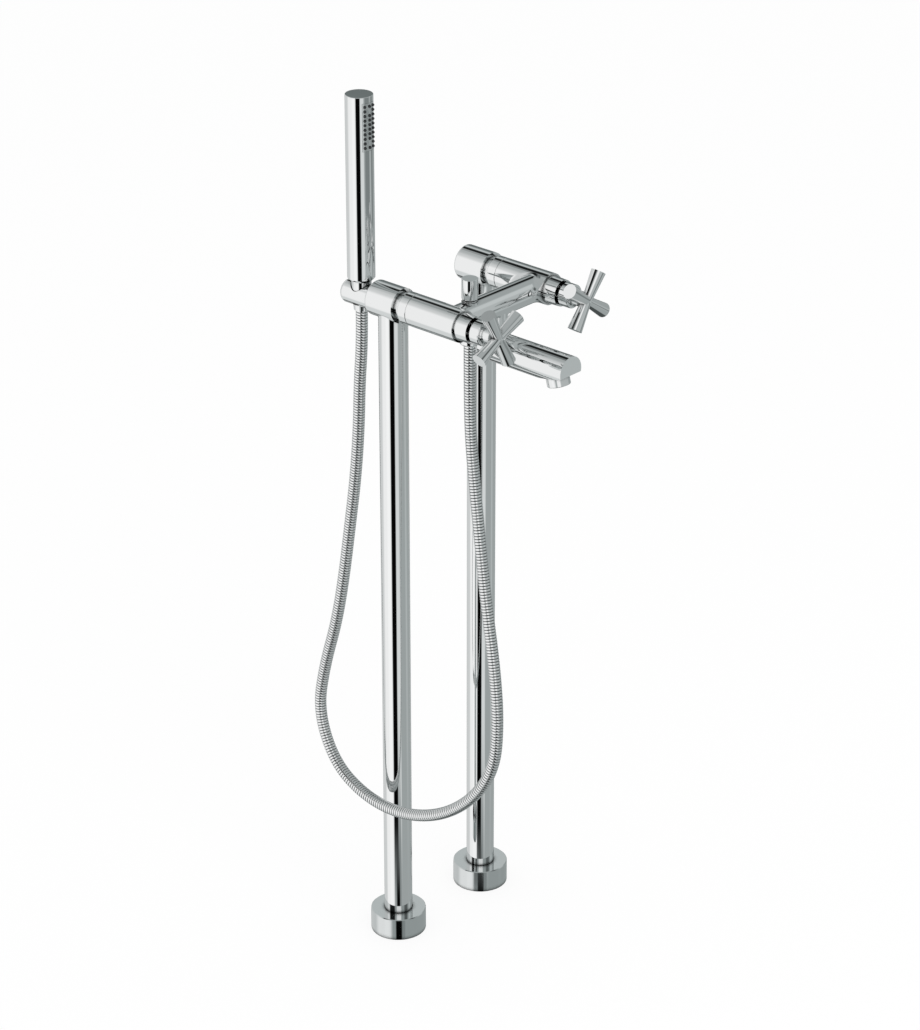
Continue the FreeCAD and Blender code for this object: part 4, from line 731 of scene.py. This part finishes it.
@dataclass
class Studio:
    """Pale floor, soft light, and the cards and flags that the chrome mirrors."""

    room: str = "#A1A7A7"
    ceiling: str = "#A9AEAE"
    ceiling_starts: tuple[float, float] = (40.0, 60.0)
    daylight: float = 0.9

    # later cards stand in front of earlier ones
    cards: tuple[Card, ...] = (
        Card("#D3D5D5", -97, 68, -90, 49, soft_ends=6),               # pale wall on the left
        Card("#F8F8F8", -68, 34, -46, 36, soft=14, soft_ends=8),      # softbox in front of it
        Card("#FFFFFF", -47, 13, -33, -14, soft=6),                   # softbox's hot middle
        Card("#F8F8F8", 4, 18, -11, 44, soft=6, soft_ends=4),         # lamp over the camera
        Card("#B6BBBB", 62, 42, -21, 27, soft=10, soft_ends=4),       # paler wall on the right
        Card("#5E6262", 65, 15, 29, 50, soft=6, soft_ends=4),         # dark corner over it
        Card("#6A6F6F", -152, 12, 50, 62, soft=5, soft_ends=3),       # dark corner, rear left
        Card("#7B8080", -166, 13, 44, 60, soft_ends=5),               # grey ceiling, rear left
        Card("#1E2020", -52, 24, 24, 50, soft=6, soft_ends=4),        # flag over the softbox
        Card("#DCDFDF", 21, 14, -31, -12, soft=5, soft_ends=1),       # white reflector by the lens
        Card("#8A9090", 16, 12, -90, -30, soft=3, soft_ends=1.5),     # its foot
        Card("#7E8484", 85, 42, -21.5, -10, soft=10, soft_ends=1.5),  # low wall on the right
        Card("#C6CBCB", 106, 13, 24, 42, soft=6),                     # lit patch high on the right
        Card("#B4BABA", 95, 9, -30, -18, soft=3, soft_ends=3),        # pale card below it
        Card("#D9DCDC", -97, 60, -62, -38, soft=12),                  # floor, lit on the left
        Card("#6A7171", 180, 16, -50, 19.5, soft=9, soft_ends=1.5),   # dim room behind
        Card("#C8CDCD", 180, 10, 27.5, 36, soft=4, soft_ends=1.5),    # window over it
        Card("#101212", 166, 9, 27, 42, soft=4),                      # black rail behind
        Card("#181A1A", -165, 11, 37, 52, soft=4),                    # its other half
        Card("#4A4E4E", -160, 26, -80, -46),                          # dark floor behind
        Card("#505454", 0, 24, -66, -44, soft=6),                     # dark floor at the camera
        Card("#4A4F4F", 0, 180, -90, -68, soft=1),                    # dark floor underneath
        Card("#050505", -11, 17, -31.6, -15.5, soft=3, soft_ends=1),  # black flag by the lens
        Card("#050505", 2, 13, -60, -31.4, soft=3, soft_ends=0.6),    # its foot
    )

    camera_place: Point = (-2.6498, -2.4350, 2.25175)
    camera_target: Point = (0.037354, 0.0, 0.51985)
    lens_mm: float = 78.866
    sensor_mm: float = 24.0
    sees_to_m: float = 60.0

    floor_colour: str = "#FFFFFF"
    floor_reach_m: float = 8.0
    floor_roughness: float = 0.9
    floor_glow: float = 0.86

    lamp_size_m: tuple[float, float] = (2.4, 1.6)
    lamp_watts: float = 28.0
    lamp_place: Point = (-1.2, -2.6, 3.4)
    lamp_target: Point = (0.0, 0.0, 0.5)

    def set_camera(self) -> None:
        """Stand the camera where the photograph was taken from."""
        data = bpy.data.cameras.new("camera")
        data.sensor_fit = "VERTICAL"
        data.sensor_height = self.sensor_mm
        data.lens = self.lens_mm
        data.clip_end = self.sees_to_m
        camera = bpy.data.objects.new("camera", data)
        bpy.context.scene.collection.objects.link(camera)
        camera.location = self.camera_place
        look = Vector(self.camera_target) - camera.location
        camera.rotation_euler = look.to_track_quat("-Z", "Y").to_euler()
        bpy.context.scene.camera = camera

    def set_world(self) -> None:
        """Light the scene evenly, and give the chrome a studio to mirror."""
        world = bpy.data.worlds.new("studio")
        bpy.context.scene.world = world
        world.use_nodes = True
        tree = world.node_tree
        tree.nodes.clear()
        direction = add_node(tree, "TexCoord").outputs["Generated"]
        parts = add_node(tree, "SeparateXYZ", {0: direction})
        heading = self.degrees(tree, "ARCTAN2", parts.outputs["Y"], parts.outputs["X"])
        height = self.degrees(tree, "ARCSINE", parts.outputs["Z"])
        colour = mix_colours(
            tree, self.fade(tree, height, *self.ceiling_starts),
            linear(self.room), linear(self.ceiling))
        for card in self.cards:
            cover = self.cover(tree, card, heading, height)
            colour = mix_colours(tree, cover, colour, linear(card.level))
        white = linear("#FFFFFF")
        mirrored = add_node(tree, "Background", {"Color": colour, "Strength": 1.0})
        plain = add_node(tree, "Background", {"Color": white, "Strength": self.daylight})
        shown = add_node(tree, "Background", {"Color": white, "Strength": 1.0})
        path = add_node(tree, "LightPath")
        lit = add_node(tree, "MixShader", {
            0: path.outputs["Is Glossy Ray"], 1: plain.outputs[0], 2: mirrored.outputs[0],
        })
        seen = add_node(tree, "MixShader", {
            0: path.outputs["Is Camera Ray"], 1: lit.outputs[0], 2: shown.outputs[0],
        })
        add_node(tree, "OutputWorld", {"Surface": seen.outputs[0]})

    @staticmethod
    def degrees(
        tree: bpy.types.NodeTree, operation: str, *values: bpy.types.NodeSocket,
    ) -> bpy.types.NodeSocket:
        """An angle in degrees, worked out by a Math node.

        Args:
            tree: The node tree to add to.
            operation: The Math node's operation, which gives radians.
            *values: What goes into it.

        Returns:
            The socket that holds the angle.
        """
        angle = add_node(tree, "Math", dict(enumerate(values)), operation=operation)
        return add_node(tree, "Math", {0: angle.outputs[0]}, operation="DEGREES").outputs[0]

    @staticmethod
    def fade(
        tree: bpy.types.NodeTree, value: bpy.types.NodeSocket, start: float, end: float,
    ) -> bpy.types.NodeSocket:
        """A soft step from 0 to 1.

        Args:
            tree: The node tree to add to.
            value: What is measured.
            start: Where the step begins.
            end: Where it ends, below start for a step down.

        Returns:
            The socket that holds the step.
        """
        step = add_node(tree, "MapRange", {
            "Value": value, "From Min": min(start, end), "From Max": max(start, end),
            "To Min": float(start > end), "To Max": float(start < end),
        }, interpolation_type="SMOOTHSTEP")
        return step.outputs["Result"]

    def cover(
        self,
        tree: bpy.types.NodeTree,
        card: Card,
        heading: bpy.types.NodeSocket,
        height: bpy.types.NodeSocket,
    ) -> bpy.types.NodeSocket:
        """How much of a direction one card covers, from 0 to 1.

        Args:
            tree: The node tree to add to.
            card: The card.
            heading: The direction's compass angle in degrees.
            height: The direction's angle above the horizon in degrees.

        Returns:
            The socket that holds the share.
        """
        camera_heading = math.degrees(math.atan2(self.camera_place[1], self.camera_place[0]))
        offset = add_node(tree, "Math", {
            0: heading, 1: -card.azimuth - camera_heading,
        }, operation="ADD").outputs[0]
        wrapped = add_node(tree, "Math", {0: offset, 1: -180.0, 2: 180.0}, operation="WRAP")
        apart = add_node(tree, "Math", {0: wrapped.outputs[0]}, operation="ABSOLUTE").outputs[0]
        shares = (
            self.fade(tree, apart, card.half_width + card.soft, card.half_width - card.soft),
            self.fade(tree, height, card.low - card.soft_ends, card.low + card.soft_ends),
            self.fade(tree, height, card.high + card.soft_ends, card.high - card.soft_ends),
        )
        across, above, below = shares
        upright = add_node(tree, "Math", {0: above, 1: below}, operation="MULTIPLY").outputs[0]
        return add_node(tree, "Math", {0: across, 1: upright}, operation="MULTIPLY").outputs[0]

    def lay_floor(self) -> None:
        """Lay a pale floor that keeps the filler's shadow and stays out of the chrome."""
        mesh = bpy.data.meshes.new("floor")
        reach = self.floor_reach_m
        corners = [(-reach, -reach, 0.0), (reach, -reach, 0.0), (reach, reach, 0.0), (-reach, reach, 0.0)]
        mesh.from_pydata(corners, [], [(0, 1, 2, 3)])
        floor = new_object("floor", mesh)
        material = bpy.data.materials.new("pale floor")
        material.use_nodes = True
        tree = material.node_tree
        shader = tree.nodes["Principled BSDF"]
        shader.inputs["Base Color"].default_value = linear(self.floor_colour)
        shader.inputs["Roughness"].default_value = self.floor_roughness
        glow = add_node(tree, "Emission", {"Color": linear("#FFFFFF"), "Strength": 1.0})
        path = add_node(tree, "LightPath")
        blend = add_node(tree, "Math", {
            0: path.outputs["Is Camera Ray"], 1: self.floor_glow,
        }, operation="MULTIPLY")
        mixed = add_node(tree, "MixShader", {
            0: blend.outputs[0], 1: shader.outputs[0], 2: glow.outputs[0],
        })
        tree.links.new(mixed.outputs[0], tree.nodes["Material Output"].inputs["Surface"])
        mesh.materials.append(material)
        floor.visible_glossy = False

    def hang_lamp(self) -> None:
        """Hang one large soft lamp over the bath side."""
        data = bpy.data.lights.new("softbox", "AREA")
        data.shape = "RECTANGLE"
        data.size, data.size_y = self.lamp_size_m
        data.energy = self.lamp_watts
        lamp = bpy.data.objects.new("softbox", data)
        bpy.context.scene.collection.objects.link(lamp)
        lamp.location = self.lamp_place
        look = Vector(self.lamp_target) - lamp.location
        lamp.rotation_euler = look.to_track_quat("-Z", "Y").to_euler()
        lamp.visible_glossy = False

    def build(self) -> None:
        """Set up the whole studio."""
        self.set_camera()
        self.set_world()
        self.lay_floor()
        self.hang_lamp()
        bpy.context.scene.view_settings.view_transform = "Standard"


def main() -> None:
    """Build the studio and the filler in order."""
    logging.basicConfig(level=logging.INFO, format="%(message)s")
    Studio().build()
    shop = FinishShop()
    shop.dress_frame()
    ShowerHose().build(shop)
    SprayNubs().build(shop)


if __name__ == "__main__":
    main()
